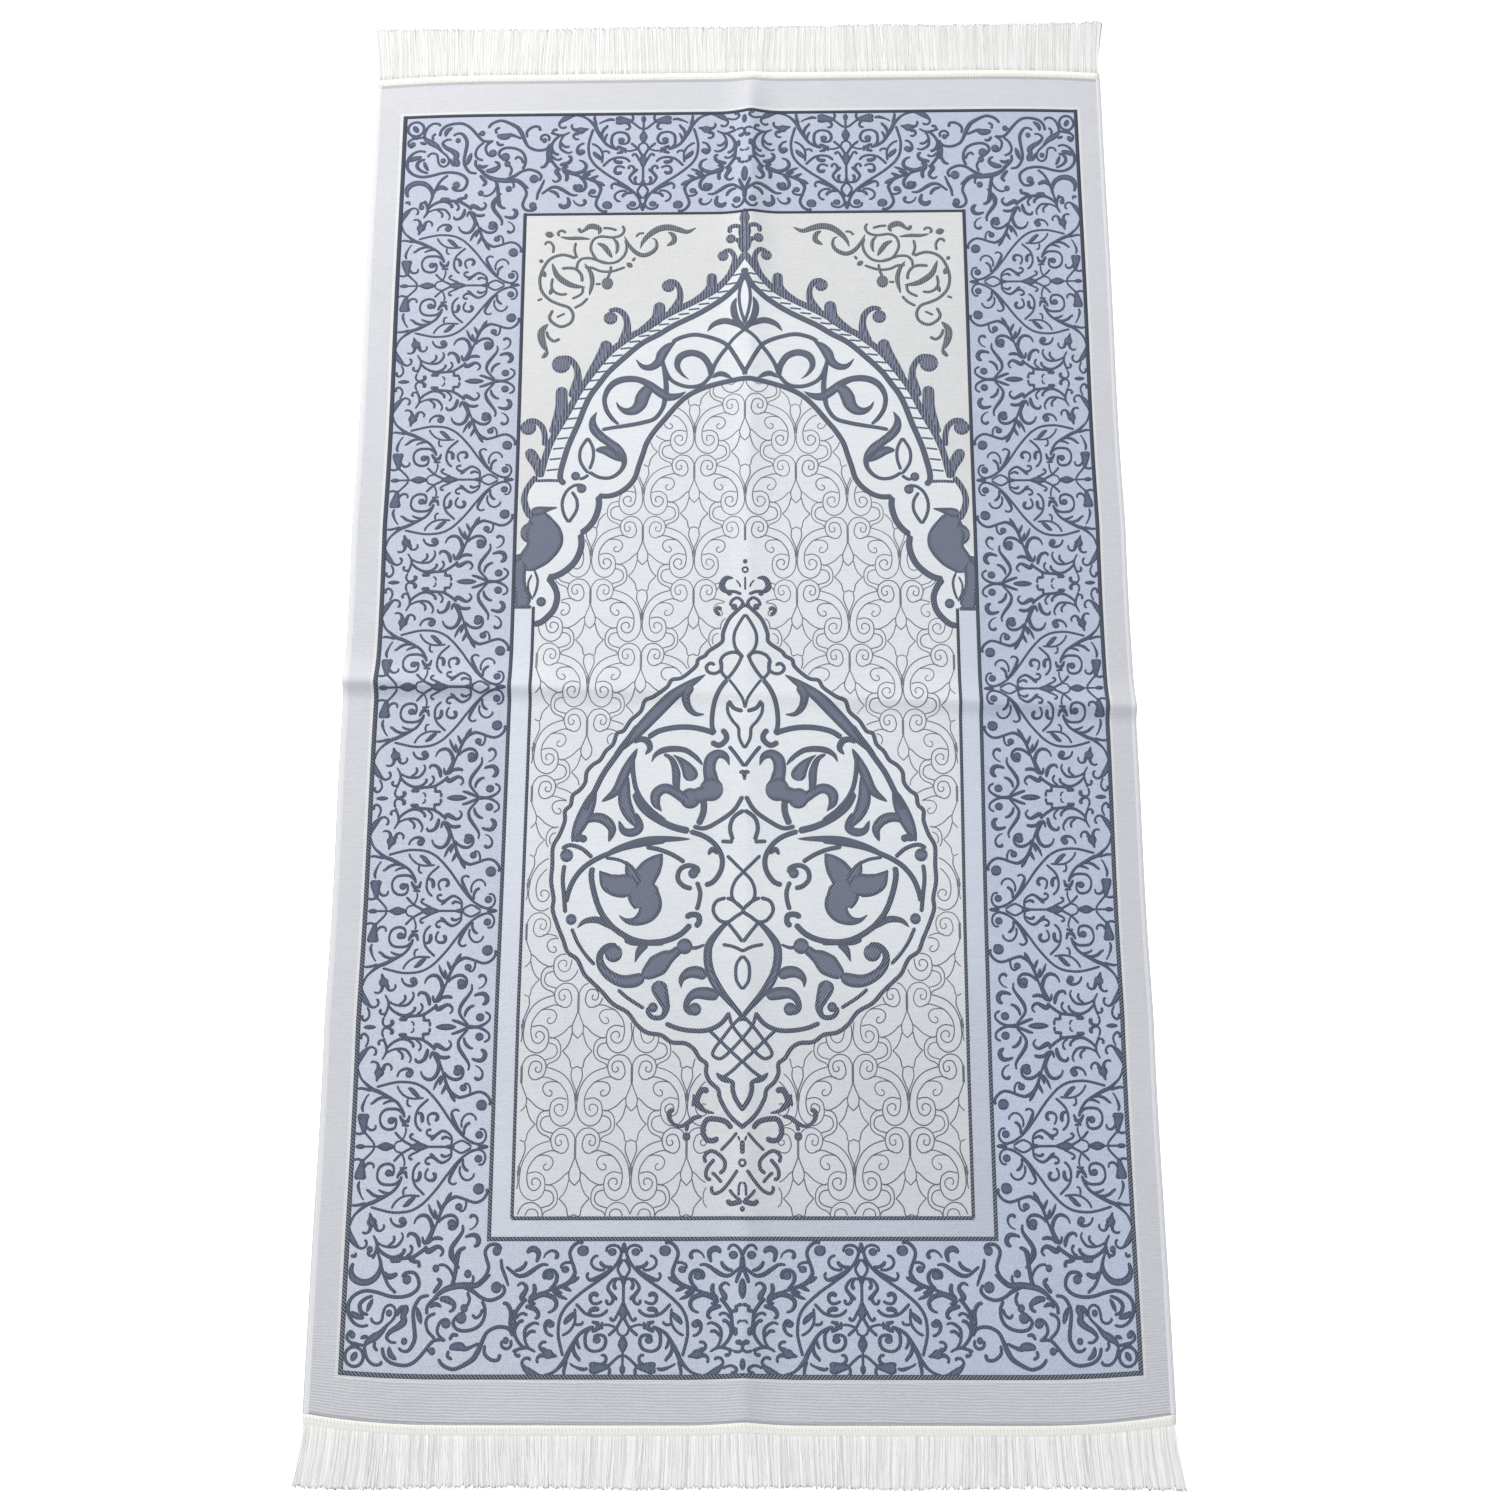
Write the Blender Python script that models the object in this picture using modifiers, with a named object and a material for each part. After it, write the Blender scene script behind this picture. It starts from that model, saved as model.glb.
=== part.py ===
"""A thin woven prayer rug lying flat, with a strand fringe at each end.

Frame: X across the rug, +Y along it towards the top of the arch, +Z up.
The origin is at the bottom centre of the whole rug. Units are metres.
"""
import math
import random

import bmesh
import bpy

# Driving sizes
CLOTH_WIDTH = 0.670
CLOTH_LENGTH = 1.160
CLOTH_THICKNESS = 0.0016
FRINGE_NEAR_LENGTH = 0.048
FRINGE_FAR_LENGTH = 0.060
PIECE_GAP = 0.0003

HALF_WIDTH = CLOTH_WIDTH / 2
HALF_LENGTH = CLOTH_LENGTH / 2
# The two fringes differ in length, so the cloth's middle sits off the rug's middle.
CLOTH_CENTRE_Y = (FRINGE_NEAR_LENGTH - FRINGE_FAR_LENGTH) / 2

# End edges: the corners are drawn in, and the near edge is notched where the long fold meets it.
CORNER_REACH = 0.115
NEAR_CORNER_PULL = 0.0085
FAR_CORNER_PULL = 0.0045
NOTCH_DEPTH = 0.003
NOTCH_REACH = 0.045
# Side edges: slow ripples, (height of the ripple, ripples along the length, phase in turns).
SIDE_RIPPLES = (
    (0.0010, 1.5, 0.10),
    (0.0007, 4.0, 0.45),
)

# Fold ridges that the rug keeps from being folded in four. Columns: the line runs along this axis,
# where it crosses the other axis at its start and at its end, the ridge height at its start, its
# middle and its end, and how far each flank reaches. The start is the near or the left end.
FOLDS = (
    ("y", 0.0050, 0.0130, 0.0036, 0.0022, 0.0050, 0.030),
    ("x", 0.0020, -0.0240, 0.0060, 0.0024, 0.0055, 0.034),
)
CREST_ROUNDING = 0.0035
# The sewn tapes hold the ends flatter than the cloth a little way in.
END_HOLD = 0.55
END_HOLD_REACH = 0.035

# Grid of the cloth: even columns and rows, with closer ones over each fold.
COLUMN_STEP = 0.055
ROW_STEP = 0.060
FOLD_STATIONS = (-0.034, -0.020, -0.010, -0.004, 0.0, 0.004, 0.010, 0.020, 0.034)

# Fringe trim: a header tape with strands, each a flat lock of yarn grown in sections.
TAPE_DEPTH = 0.0070
TAPE_THICKNESS = 0.0014
LOCK_COUNT = 96
LOCK_SHARE = 0.62
LOCK_TIP_SHARE = 0.80
LOCK_THICKNESS = 0.0012
LOCK_SECTIONS = (0.30, 0.65, 1.0)
CORNER_SPLAY = 0.0065
LOCK_SWAY = 0.0022
LOCK_SCATTER = 0.0006
TIP_UNEVENNESS = 0.0015
SEED = 7

CLOTH_COLOUR = (0.52, 0.56, 0.70, 1.0)
FRINGE_COLOUR = (0.90, 0.90, 0.88, 1.0)


def clear_scene():
    for item in list(bpy.data.objects):
        bpy.data.objects.remove(item, do_unlink=True)


def fabric_material(name, colour, roughness):
    material = bpy.data.materials.new(name)
    material.use_nodes = True
    shader = material.node_tree.nodes["Principled BSDF"]
    shader.inputs["Base Color"].default_value = colour
    shader.inputs["Roughness"].default_value = roughness
    shader.inputs["Metallic"].default_value = 0.0
    return material


def blend(start, middle, end, share):
    """A smooth value that passes through three heights along a line."""
    if share < 0.5:
        low, high, t = start, middle, share * 2
    else:
        low, high, t = middle, end, share * 2 - 1
    t = t * t * (3 - 2 * t)
    return low + (high - low) * t


def lift(x, y):
    """Height of the cloth's underside above the floor at a place on the rug."""
    height = 0.0
    for axis, start_at, end_at, low, middle, high, reach in FOLDS:
        if axis == "y":
            share = (y - CLOTH_CENTRE_Y + HALF_LENGTH) / CLOTH_LENGTH
            away = x - (start_at + (end_at - start_at) * share)
        else:
            share = (x + HALF_WIDTH) / CLOTH_WIDTH
            away = y - (start_at + (end_at - start_at) * share)
        share = min(max(share, 0.0), 1.0)
        rounded = math.sqrt(away * away + CREST_ROUNDING * CREST_ROUNDING) - CREST_ROUNDING
        flank = max(0.0, 1 - rounded / (reach - CREST_ROUNDING))
        height = max(height, blend(low, middle, high, share) * flank ** 2.2)
    into = min(1.0, (HALF_LENGTH - abs(y - CLOTH_CENTRE_Y)) / END_HOLD_REACH)
    return height * (1 - END_HOLD * (1 - max(0.0, into)) ** 2)


def corner_pull(x, depth):
    """How far an end edge is drawn in towards the middle near the corners."""
    into = max(0.0, abs(x) - (HALF_WIDTH - CORNER_REACH)) / CORNER_REACH
    return depth * into ** 2.2


def near_edge(x):
    fold_x = FOLDS[0][1]
    notch = NOTCH_DEPTH * max(0.0, 1 - abs(x - fold_x) / NOTCH_REACH) ** 2
    return CLOTH_CENTRE_Y - HALF_LENGTH + corner_pull(x, NEAR_CORNER_PULL) + notch


def far_edge(x):
    return CLOTH_CENTRE_Y + HALF_LENGTH - corner_pull(x, FAR_CORNER_PULL)


def side_ripple(share):
    """Sideways wander of the side edges; it fades out at the ends so the corners stay in place."""
    wander = 0.0
    for size, count, phase in SIDE_RIPPLES:
        wander += size * math.sin(2 * math.pi * (count * share + phase))
    return -abs(wander) * math.sin(math.pi * share)


def stations(low, high, step, folds):
    """Grid lines from low to high: even ones, replaced near each fold by its closer set."""
    reach = FOLD_STATIONS[-1]
    places = [fold + offset for fold in folds for offset in FOLD_STATIONS]
    count = round((high - low) / step)
    for index in range(count + 1):
        place = low + (high - low) * index / count
        if all(abs(place - fold) > reach + step * 0.35 for fold in folds):
            places.append(place)
    return sorted(places)


def make_cloth(collection):
    """The woven panel: a grid laid on the outline and the fold ridges, given its thickness."""
    columns = stations(-HALF_WIDTH, HALF_WIDTH, COLUMN_STEP, [0.0])
    rows = stations(-HALF_LENGTH, HALF_LENGTH, ROW_STEP, [0.0])
    held = HALF_LENGTH - END_HOLD_REACH * 0.6
    rows = sorted(rows + [-held, held])
    bm = bmesh.new()
    bmesh.ops.create_grid(bm, x_segments=len(columns) - 1, y_segments=len(rows) - 1, size=0.5)
    for vert in bm.verts:
        column = columns[round((vert.co.x + 0.5) * (len(columns) - 1))]
        row = rows[round((vert.co.y + 0.5) * (len(rows) - 1))]
        vert.co = cloth_place(column, row)
    mesh = bpy.data.meshes.new("cloth")
    bm.to_mesh(mesh)
    bm.free()
    cloth = bpy.data.objects.new("cloth", mesh)
    collection.objects.link(cloth)
    thickness = cloth.modifiers.new("thickness", "SOLIDIFY")
    thickness.thickness = CLOTH_THICKNESS
    thickness.offset = 1.0
    mesh.materials.append(fabric_material("woven_cloth", CLOTH_COLOUR, 0.9))
    return cloth


def cloth_place(column, row):
    """Where a grid line crossing lies: column and row are measured from the cloth's own middle."""
    across = column / HALF_WIDTH
    along = row / HALF_LENGTH
    fold_across, fold_along = FOLDS[0], FOLDS[1]
    end_share = (along + 1) / 2
    side_share = (across + 1) / 2
    # The grid's middle lines are carried onto the fold lines, and the shift fades out at the edges.
    x = column + (fold_across[1] + (fold_across[2] - fold_across[1]) * end_share) * (1 - across ** 2)
    x += side_ripple(end_share) * across ** 3
    fold_y = fold_along[1] + (fold_along[2] - fold_along[1]) * side_share
    ends = (near_edge(x) + far_edge(x)) / 2
    half = (far_edge(x) - near_edge(x)) / 2
    y = ends + half * along + (fold_y - ends) * (1 - along ** 2)
    return (x, y, lift(x, y))


def grow_lock(bm, root, side, end_y, sway):
    """Grow one strand out of its root face, section by section, down onto the floor."""
    face = root
    centre = root.calc_center_median()
    width = max(vert.co.x for vert in root.verts) - min(vert.co.x for vert in root.verts)
    root_lift = min(vert.co.z for vert in root.verts)
    for share in LOCK_SECTIONS:
        face = bmesh.ops.extrude_discrete_faces(bm, faces=[face])["faces"][0]
        half = width * (1 + (LOCK_TIP_SHARE - 1) * share) / 2
        middle_x = centre.x + sway * share ** 1.6
        middle_y = centre.y + (end_y - centre.y) * share
        floor = root_lift * (1 - min(1.0, share / LOCK_SECTIONS[1])) ** 1.5
        old_middle = face.calc_center_median()
        for vert in face.verts:
            to_right = 1 if vert.co.x > old_middle.x else -1
            upper = vert.co.z > old_middle.z
            vert.co = (middle_x + to_right * half, middle_y, floor + (LOCK_THICKNESS if upper else 0.0))


def lock_sway(x, scatter):
    """Sideways drift of a strand's tip: a splay at the corners, a slow wave and a little scatter."""
    across = x / HALF_WIDTH
    inner = 1 - across ** 10
    wave = LOCK_SWAY * math.sin(9.4 * across + 0.6) + LOCK_SCATTER * scatter
    return CORNER_SPLAY * across ** 9 + wave * inner


def make_fringe(name, side, edge, length, collection, dice):
    """Fringe trim at one end: side is -1 for the near end and +1 for the far end."""
    pitch = CLOTH_WIDTH / LOCK_COUNT
    lines = []
    for index in range(LOCK_COUNT):
        middle = -HALF_WIDTH + pitch * (index + 0.5)
        lines += [middle - pitch * LOCK_SHARE / 2, middle + pitch * LOCK_SHARE / 2]
    lines[0] = -HALF_WIDTH
    lines[-1] = HALF_WIDTH
    tip_y = CLOTH_CENTRE_Y + side * (HALF_LENGTH + length)

    bm = bmesh.new()
    bmesh.ops.create_grid(bm, x_segments=len(lines) - 1, y_segments=1, size=0.5)
    for vert in bm.verts:
        x = lines[round((vert.co.x + 0.5) * (len(lines) - 1))]
        inner = (vert.co.y < 0) == (side > 0)
        y = edge(x) + side * (PIECE_GAP if inner else PIECE_GAP + TAPE_DEPTH)
        vert.co = (x, y, lift(x, edge(x)))
    upper = bmesh.ops.extrude_face_region(bm, geom=list(bm.faces))["geom"]
    upper_points = [item for item in upper if isinstance(item, bmesh.types.BMVert)]
    bmesh.ops.translate(bm, verts=upper_points, vec=(0, 0, TAPE_THICKNESS))
    bmesh.ops.recalc_face_normals(bm, faces=list(bm.faces))

    outer = [face for face in bm.faces if face.normal.y * side > 0.9]
    outer.sort(key=lambda face: face.calc_center_median().x)
    for root in outer[::2]:
        x = root.calc_center_median().x
        shortfall = TIP_UNEVENNESS * dice.random()
        grow_lock(bm, root, side, tip_y - side * shortfall, lock_sway(x, dice.uniform(-1, 1)))
    bmesh.ops.recalc_face_normals(bm, faces=list(bm.faces))
    mesh = bpy.data.meshes.new(name)
    bm.to_mesh(mesh)
    bm.free()
    fringe = bpy.data.objects.new(name, mesh)
    collection.objects.link(fringe)
    mesh.materials.append(fabric_material(name + "_yarn", FRINGE_COLOUR, 0.85))
    return fringe


def main():
    clear_scene()
    collection = bpy.data.collections.new("prayer_rug")
    bpy.context.scene.collection.children.link(collection)
    holder = bpy.data.objects.new("rug_frame", None)
    collection.objects.link(holder)
    dice = random.Random(SEED)
    pieces = [
        make_cloth(collection),
        make_fringe("fringe_near", -1, near_edge, FRINGE_NEAR_LENGTH, collection, dice),
        make_fringe("fringe_far", 1, far_edge, FRINGE_FAR_LENGTH, collection, dice),
    ]
    for piece in pieces:
        piece.parent = holder


main()
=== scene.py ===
"""Looks of a woven prayer rug: jacquard cloth, its figured pattern, side stitching and fringes.

The pattern is laid out in millimetres on the flat cloth: u runs across from the pattern's middle
line, v runs along from the cloth's middle towards the point of the arch. Its drawings count in
threads of half a millimetre. ClothLie carries every place (u, v) onto the cloth as it lies, in
metres, with its ripples and fold ridges.
"""
from __future__ import annotations

import logging
import math
from dataclasses import dataclass, field
from enum import Enum
from typing import Callable, Iterable, Sequence

import bpy
import numpy as np
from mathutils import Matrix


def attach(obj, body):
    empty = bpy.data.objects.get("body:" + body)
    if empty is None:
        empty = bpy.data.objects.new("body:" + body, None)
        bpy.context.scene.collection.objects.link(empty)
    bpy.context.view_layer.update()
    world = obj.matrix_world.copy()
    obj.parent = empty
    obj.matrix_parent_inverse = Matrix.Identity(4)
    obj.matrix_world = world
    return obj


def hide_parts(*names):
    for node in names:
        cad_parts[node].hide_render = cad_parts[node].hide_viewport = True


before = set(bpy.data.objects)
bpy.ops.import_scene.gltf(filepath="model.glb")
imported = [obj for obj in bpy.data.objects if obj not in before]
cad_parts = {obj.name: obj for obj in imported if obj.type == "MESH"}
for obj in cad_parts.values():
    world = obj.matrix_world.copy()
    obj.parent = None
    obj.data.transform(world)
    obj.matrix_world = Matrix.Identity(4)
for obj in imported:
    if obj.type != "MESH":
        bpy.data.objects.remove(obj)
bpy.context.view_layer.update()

log = logging.getLogger("prayer_rug")
MM = 0.001
THREAD = 0.5
TURN = 2 * math.pi
FLIP_U = np.array([[-1.0, 0.0], [0.0, 1.0]])
FLIP_V = np.array([[1.0, 0.0], [0.0, -1.0]])
Point = tuple[float, float]
Triple = tuple[float, float, float]
Colour = tuple[float, float, float, float]
Screen = tuple[int, int, int]
HalfWidth = Callable[[np.ndarray], np.ndarray]


def smooth(share: np.ndarray) -> np.ndarray:
    """A smooth rise from 0 to 1 at shares from 0 to 1."""
    return share**2 * (3 - 2 * share)


def rows_of(*values: np.ndarray) -> np.ndarray:
    """Arrays of one shape, or that stretch to it, as rows with one value from each."""
    return np.stack(np.broadcast_arrays(*values), axis=-1).reshape(-1, len(values))


# -------- How the cloth lies


class Way(Enum):
    """Which way a fold runs over the floor."""

    ACROSS = "x"
    ALONG = "y"


@dataclass(frozen=True)
class Fold:
    """A soft ridge left by folding, in metres. It starts at the near or the left end."""

    way: Way
    start_at: float
    end_at: float
    start_height: float
    middle_height: float
    end_height: float
    reach: float
    near_reach: float

    def height(self, share: np.ndarray) -> np.ndarray:
        """Crest height at a share of the ridge's length: smooth steps through three heights."""
        first = share < 0.5
        low = np.where(first, self.start_height, self.middle_height)
        high = np.where(first, self.middle_height, self.end_height)
        return low + (high - low) * smooth(np.where(first, share * 2, share * 2 - 1))


@dataclass
class ClothLie:
    """Where the cloth lies: its flat size, outline, ripples and fold ridges, in metres.

    The four that say where along the pattern it shifts and skews, and over how far, are in
    millimetres: shift_from, shift_over, skew_at and skew_reach. Each side ripple has a size, a
    number of waves along the side and a phase.
    """

    width: float = 0.670
    length: float = 1.160
    thickness: float = 0.0016
    fringe_near: float = 0.048
    fringe_far: float = 0.060
    corner_reach: float = 0.115
    near_corner_pull: float = 0.0085
    far_corner_pull: float = 0.0045
    notch_depth: float = 0.003
    notch_reach: float = 0.045
    crest_rounding: float = 0.0035
    end_hold: float = 0.55
    end_hold_reach: float = 0.035
    pattern_shift_near: float = 0.0038
    pattern_shift_far: float = 0.0068
    row_skew: float = 0.011
    shift_from: float = -330.0
    shift_over: float = 400.0
    skew_at: float = 110.0
    skew_reach: float = 190.0
    side_ripples: tuple[Triple, ...] = ((0.0010, 1.5, 0.10), (0.0007, 4.0, 0.45))
    folds: tuple[Fold, ...] = (
        Fold(Way.ALONG, 0.0050, 0.0130, 0.0036, 0.0015, 0.0050, 0.032, 0.032),
        Fold(Way.ACROSS, 0.0020, -0.0240, 0.0060, 0.0020, 0.0055, 0.034, 0.017),
    )

    @property
    def half_width(self) -> float:
        """Half the cloth's flat width."""
        return self.width / 2

    @property
    def half_length(self) -> float:
        """Half the cloth's flat length."""
        return self.length / 2

    @property
    def centre_y(self) -> float:
        """The cloth's middle: the two fringes differ, so it is off the middle of the whole rug."""
        return (self.fringe_near - self.fringe_far) / 2

    def lift(self, x: np.ndarray, y: np.ndarray) -> np.ndarray:
        """Height of the cloth's underside above the floor.

        Each fold adds height times (1 - distance / reach) to the power 2.2, with its crest rounded;
        the higher ridge wins, and the sewn tapes hold the ends flatter.

        Args:
            x: places across, in metres.
            y: places along, in metres.

        Returns:
            Heights in metres.
        """
        height = np.zeros(np.broadcast(x, y).shape)
        for fold in self.folds:
            if fold.way is Way.ALONG:
                share, beside = (y - self.centre_y + self.half_length) / self.length, x
            else:
                share, beside = (x + self.half_width) / self.width, y
            share = np.clip(share, 0, 1)
            away = beside - (fold.start_at + (fold.end_at - fold.start_at) * share)
            rounded = np.sqrt(away**2 + self.crest_rounding**2) - self.crest_rounding
            reach = np.where(away < 0, fold.near_reach, fold.reach)
            flank = np.clip(1 - rounded / (reach - self.crest_rounding), 0, 1)
            height = np.maximum(height, fold.height(share) * flank**2.2)
        into = np.clip((self.half_length - np.abs(y - self.centre_y)) / self.end_hold_reach, 0, 1)
        return height * (1 - self.end_hold * (1 - into) ** 2)

    def corner_pull(self, x: np.ndarray, depth: float) -> np.ndarray:
        """How far an end edge is drawn in near the corners: depth times a share to the power 2.2."""
        into = np.clip((np.abs(x) - (self.half_width - self.corner_reach)) / self.corner_reach, 0, None)
        return depth * into**2.2

    def near_edge(self, x: np.ndarray) -> np.ndarray:
        """The near end's edge: drawn in at the corners and notched at the long fold."""
        notch = np.clip(1 - np.abs(x - self.folds[0].start_at) / self.notch_reach, 0, 1) ** 2
        pull = self.corner_pull(x, self.near_corner_pull)
        return self.centre_y - self.half_length + pull + self.notch_depth * notch

    def far_edge(self, x: np.ndarray) -> np.ndarray:
        """The far end's edge, drawn in at the corners."""
        return self.centre_y + self.half_length - self.corner_pull(x, self.far_corner_pull)

    def side_ripple(self, share: np.ndarray) -> np.ndarray:
        """Inward wander of the side edges: a sum of sines that fades out at both ends."""
        wander = sum(size * np.sin(TURN * (times * share + phase)) for size, times, phase in
                     self.side_ripples)
        return -np.abs(wander) * np.sin(math.pi * share)

    def ground(self, u: np.ndarray, v: np.ndarray) -> tuple[np.ndarray, np.ndarray]:
        """Carry flat pattern places onto the floor plan of the cloth as it lies.

        The pattern's middle line stands a little to the right, and the rows lean slightly past the
        middle of the rug. High powers of the distance from the middle hold the edges where they are
        and keep the drawn-in corners to the ends.

        Args:
            u: pattern places across, in millimetres.
            v: pattern places along, in millimetres.

        Returns:
            x and y in metres.
        """
        across = u * MM / self.half_width
        along = v * MM / self.half_length
        out = np.clip(np.abs(across), 0, 1)
        towards = smooth(np.clip((v - self.shift_from) / self.shift_over, 0, 1))
        shift = self.pattern_shift_near + (self.pattern_shift_far - self.pattern_shift_near) * towards
        x = u * MM + shift * (1 - out**5)
        x = x + self.side_ripple(np.clip((along + 1) / 2, 0, 1)) * across**3
        lean = np.exp(-(((v - self.skew_at) / self.skew_reach) ** 2)) * (1 - out**8)
        y = self.centre_y + v * MM - self.row_skew * u * MM * lean
        near_pull = self.near_edge(x) - (self.centre_y - self.half_length)
        far_pull = self.centre_y + self.half_length - self.far_edge(x)
        y = y + np.where(along < 0, near_pull, -far_pull) * np.clip(np.abs(along), 0, 1.1) ** 6
        return x, y

    def surface(self, u: np.ndarray, v: np.ndarray, above: np.ndarray | float = 0.0) -> np.ndarray:
        """Places on the cloth's upper face.

        Args:
            u: pattern places across, in millimetres.
            v: pattern places along, in millimetres.
            above: height over the upper face, in millimetres.

        Returns:
            An array of x, y, z in metres, one row for each place.
        """
        x, y = self.ground(u, v)
        return rows_of(x, y, self.lift(x, y) + self.thickness + above * MM)


# -------- Drawing with woven lines: a stroke is a path with a width at each place


class Taper(Enum):
    """How a stroke's width runs along it."""

    EVEN = "even"
    LEAF = "leaf"

    def widths(self, run: np.ndarray, wide: float) -> np.ndarray:
        """Full widths at distances from a line's start.

        Args:
            run: the distances, up to the line's whole length.
            wide: the greatest width, in millimetres.

        Returns:
            Widths in millimetres: round-ended, or pointed at both ends.
        """
        share = run / run[-1]
        if self is Taper.LEAF:
            return wide * np.clip(4 * share * (1 - share), 0, 1) ** 0.7
        caps = run[-1] / (wide / 2)
        start, end = (np.sqrt(1 - (1 - np.clip(part * caps, 0, 1)) ** 2) for part in (share, 1 - share))
        return wide * start * end


@dataclass(frozen=True)
class Stroke:
    """One woven line, leaf or ball: closely spaced places and a full width at each, in mm."""

    line: np.ndarray
    widths: np.ndarray

    @property
    def wide(self) -> float:
        """The greatest width."""
        return float(self.widths.max())

    def placed(self, matrix: np.ndarray, offset: Point = (0, 0)) -> Stroke:
        """The same stroke turned or mirrored by a 2 by 2 matrix, then moved."""
        return Stroke(self.line @ matrix.T + np.asarray(offset), self.widths)

    def moved(self, offset: Point) -> Stroke:
        """The same stroke at another place."""
        return self.placed(np.eye(2), offset)


def run_along(line: np.ndarray) -> np.ndarray:
    """Distance from a line's start at each of its places."""
    return np.concatenate([[0], np.cumsum(np.hypot(*np.diff(line, axis=0).T))])


def evenly(line: np.ndarray, step: float) -> np.ndarray:
    """Read a finely drawn line again at even steps along its length."""
    run = run_along(line)
    places = np.linspace(0, run[-1], max(4, int(math.ceil(run[-1] / step)) + 1))
    return np.stack([np.interp(places, run, line[:, 0]), np.interp(places, run, line[:, 1])], axis=-1)


def spline(points: Sequence[Point], step: float) -> np.ndarray:
    """A smooth line through points: a Catmull-Rom curve, read again at even steps.

    Each span is the cubic whose ends are two neighbouring points and whose slopes there are half
    the line between the points on either side.

    Args:
        points: the places that the line passes through.
        step: distance between the places returned.

    Returns:
        Places along the line.
    """
    knots = np.asarray(points, dtype=float)
    knots = np.vstack([2 * knots[0] - knots[1], knots, 2 * knots[-1] - knots[-2]])
    p0, p1, p2, p3 = knots[:-3, None], knots[1:-2, None], knots[2:-1, None], knots[3:, None]
    t = np.linspace(0, 1, 24, endpoint=False)[None, :, None]
    curve = 0.5 * (
        2 * p1 + (p2 - p0) * t + (2 * p0 - 5 * p1 + 4 * p2 - p3) * t**2 + (3 * p1 - p0 - 3 * p2 + p3) * t**3
    )
    return evenly(np.vstack([curve.reshape(-1, 2), knots[-2]]), step)


def stem(*points: Point, wide: float = 4.0, taper: Taper = Taper.EVEN, step: float = 1.3) -> Stroke:
    """A line through points, of even width unless a taper is named; sizes in threads, step in mm."""
    line = spline(np.multiply(points, THREAD), step)
    return Stroke(line, taper.widths(run_along(line), wide * THREAD))


def leaf(*points: Point, wide: float = 8.0) -> Stroke:
    """A leaf: a line through points, pointed at both ends."""
    return stem(*points, wide=wide, taper=Taper.LEAF, step=1.0)


def limb(*places: Triple) -> Stroke:
    """A line through places that each name their own width, smoothly joined and round-ended.

    Between the places the width changes evenly, softened over five places of the line. Each end
    is rounded over half its width, and over 0.4 mm at least.

    Args:
        places: u, v and full width, in threads.

    Returns:
        The limb as one stroke.
    """
    knots = np.asarray(places, dtype=float) * THREAD
    line = spline(knots[:, :2], 1.1)
    length = run_along(line)[-1]
    share = run_along(line) / length
    nearest = [int(np.argmin(np.hypot(*(line - knot).T))) for knot in knots[:, :2]]
    named = np.maximum.accumulate(share[nearest])
    named[[0, -1]] = 0, 1
    widths = np.interp(share, named, knots[:, 2])
    widths = np.convolve(np.pad(widths, 2, mode="edge"), np.full(5, 0.2), mode="valid")
    start, end = (max(width, 0.8) for width in widths[[0, -1]])
    from_ends = np.minimum(share / start, (1 - share) / end) * length
    return Stroke(line, widths * np.sqrt(1 - (1 - np.clip(2 * from_ends, 0, 1)) ** 2))


def ball(centre: Point, radius: float) -> Stroke:
    """A round spot: its width at each place is the chord of the circle there; sizes in threads."""
    along = -np.cos(np.linspace(0, math.pi, 9)) * radius
    line = np.stack([centre[0] + along, np.full_like(along, centre[1])], axis=-1)
    return Stroke(line * THREAD, 2 * THREAD * np.sqrt(np.clip(radius**2 - along**2, 0, None)))


def ring(centre: Point, radius: Point, wide: float) -> Stroke:
    """A closed oval line with half its width and half its height as radius; sizes in threads."""
    t = np.linspace(0, TURN, 97) + math.pi / 2
    fine = np.stack([centre[0] + radius[0] * np.cos(t), centre[1] + radius[1] * np.sin(t)], axis=-1)
    line = evenly(fine * THREAD, 1.2)
    return Stroke(line, np.full(len(line), wide * THREAD))


def mirrored(strokes: Sequence[Stroke]) -> list[Stroke]:
    """Strokes with their mirror images in the line u = 0."""
    return [*strokes, *(stroke.placed(FLIP_U) for stroke in strokes)]


def half_width_of(points: Iterable[Point], v: np.ndarray, below: float, above: float) -> np.ndarray:
    """Half the width of what a left outline goes round, at places along v.

    Args:
        points: the outline's points, in threads.
        v: places along, in millimetres.
        below: what to give below the outline's lowest point.
        above: what to give above its highest point.

    Returns:
        Half widths in millimetres.
    """
    places = np.array(list(points)) * THREAD
    order = np.argsort(places[:, 1])
    return np.interp(v, places[order, 1], -places[order, 0], left=below, right=above)


# -------- The scroll border


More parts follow.
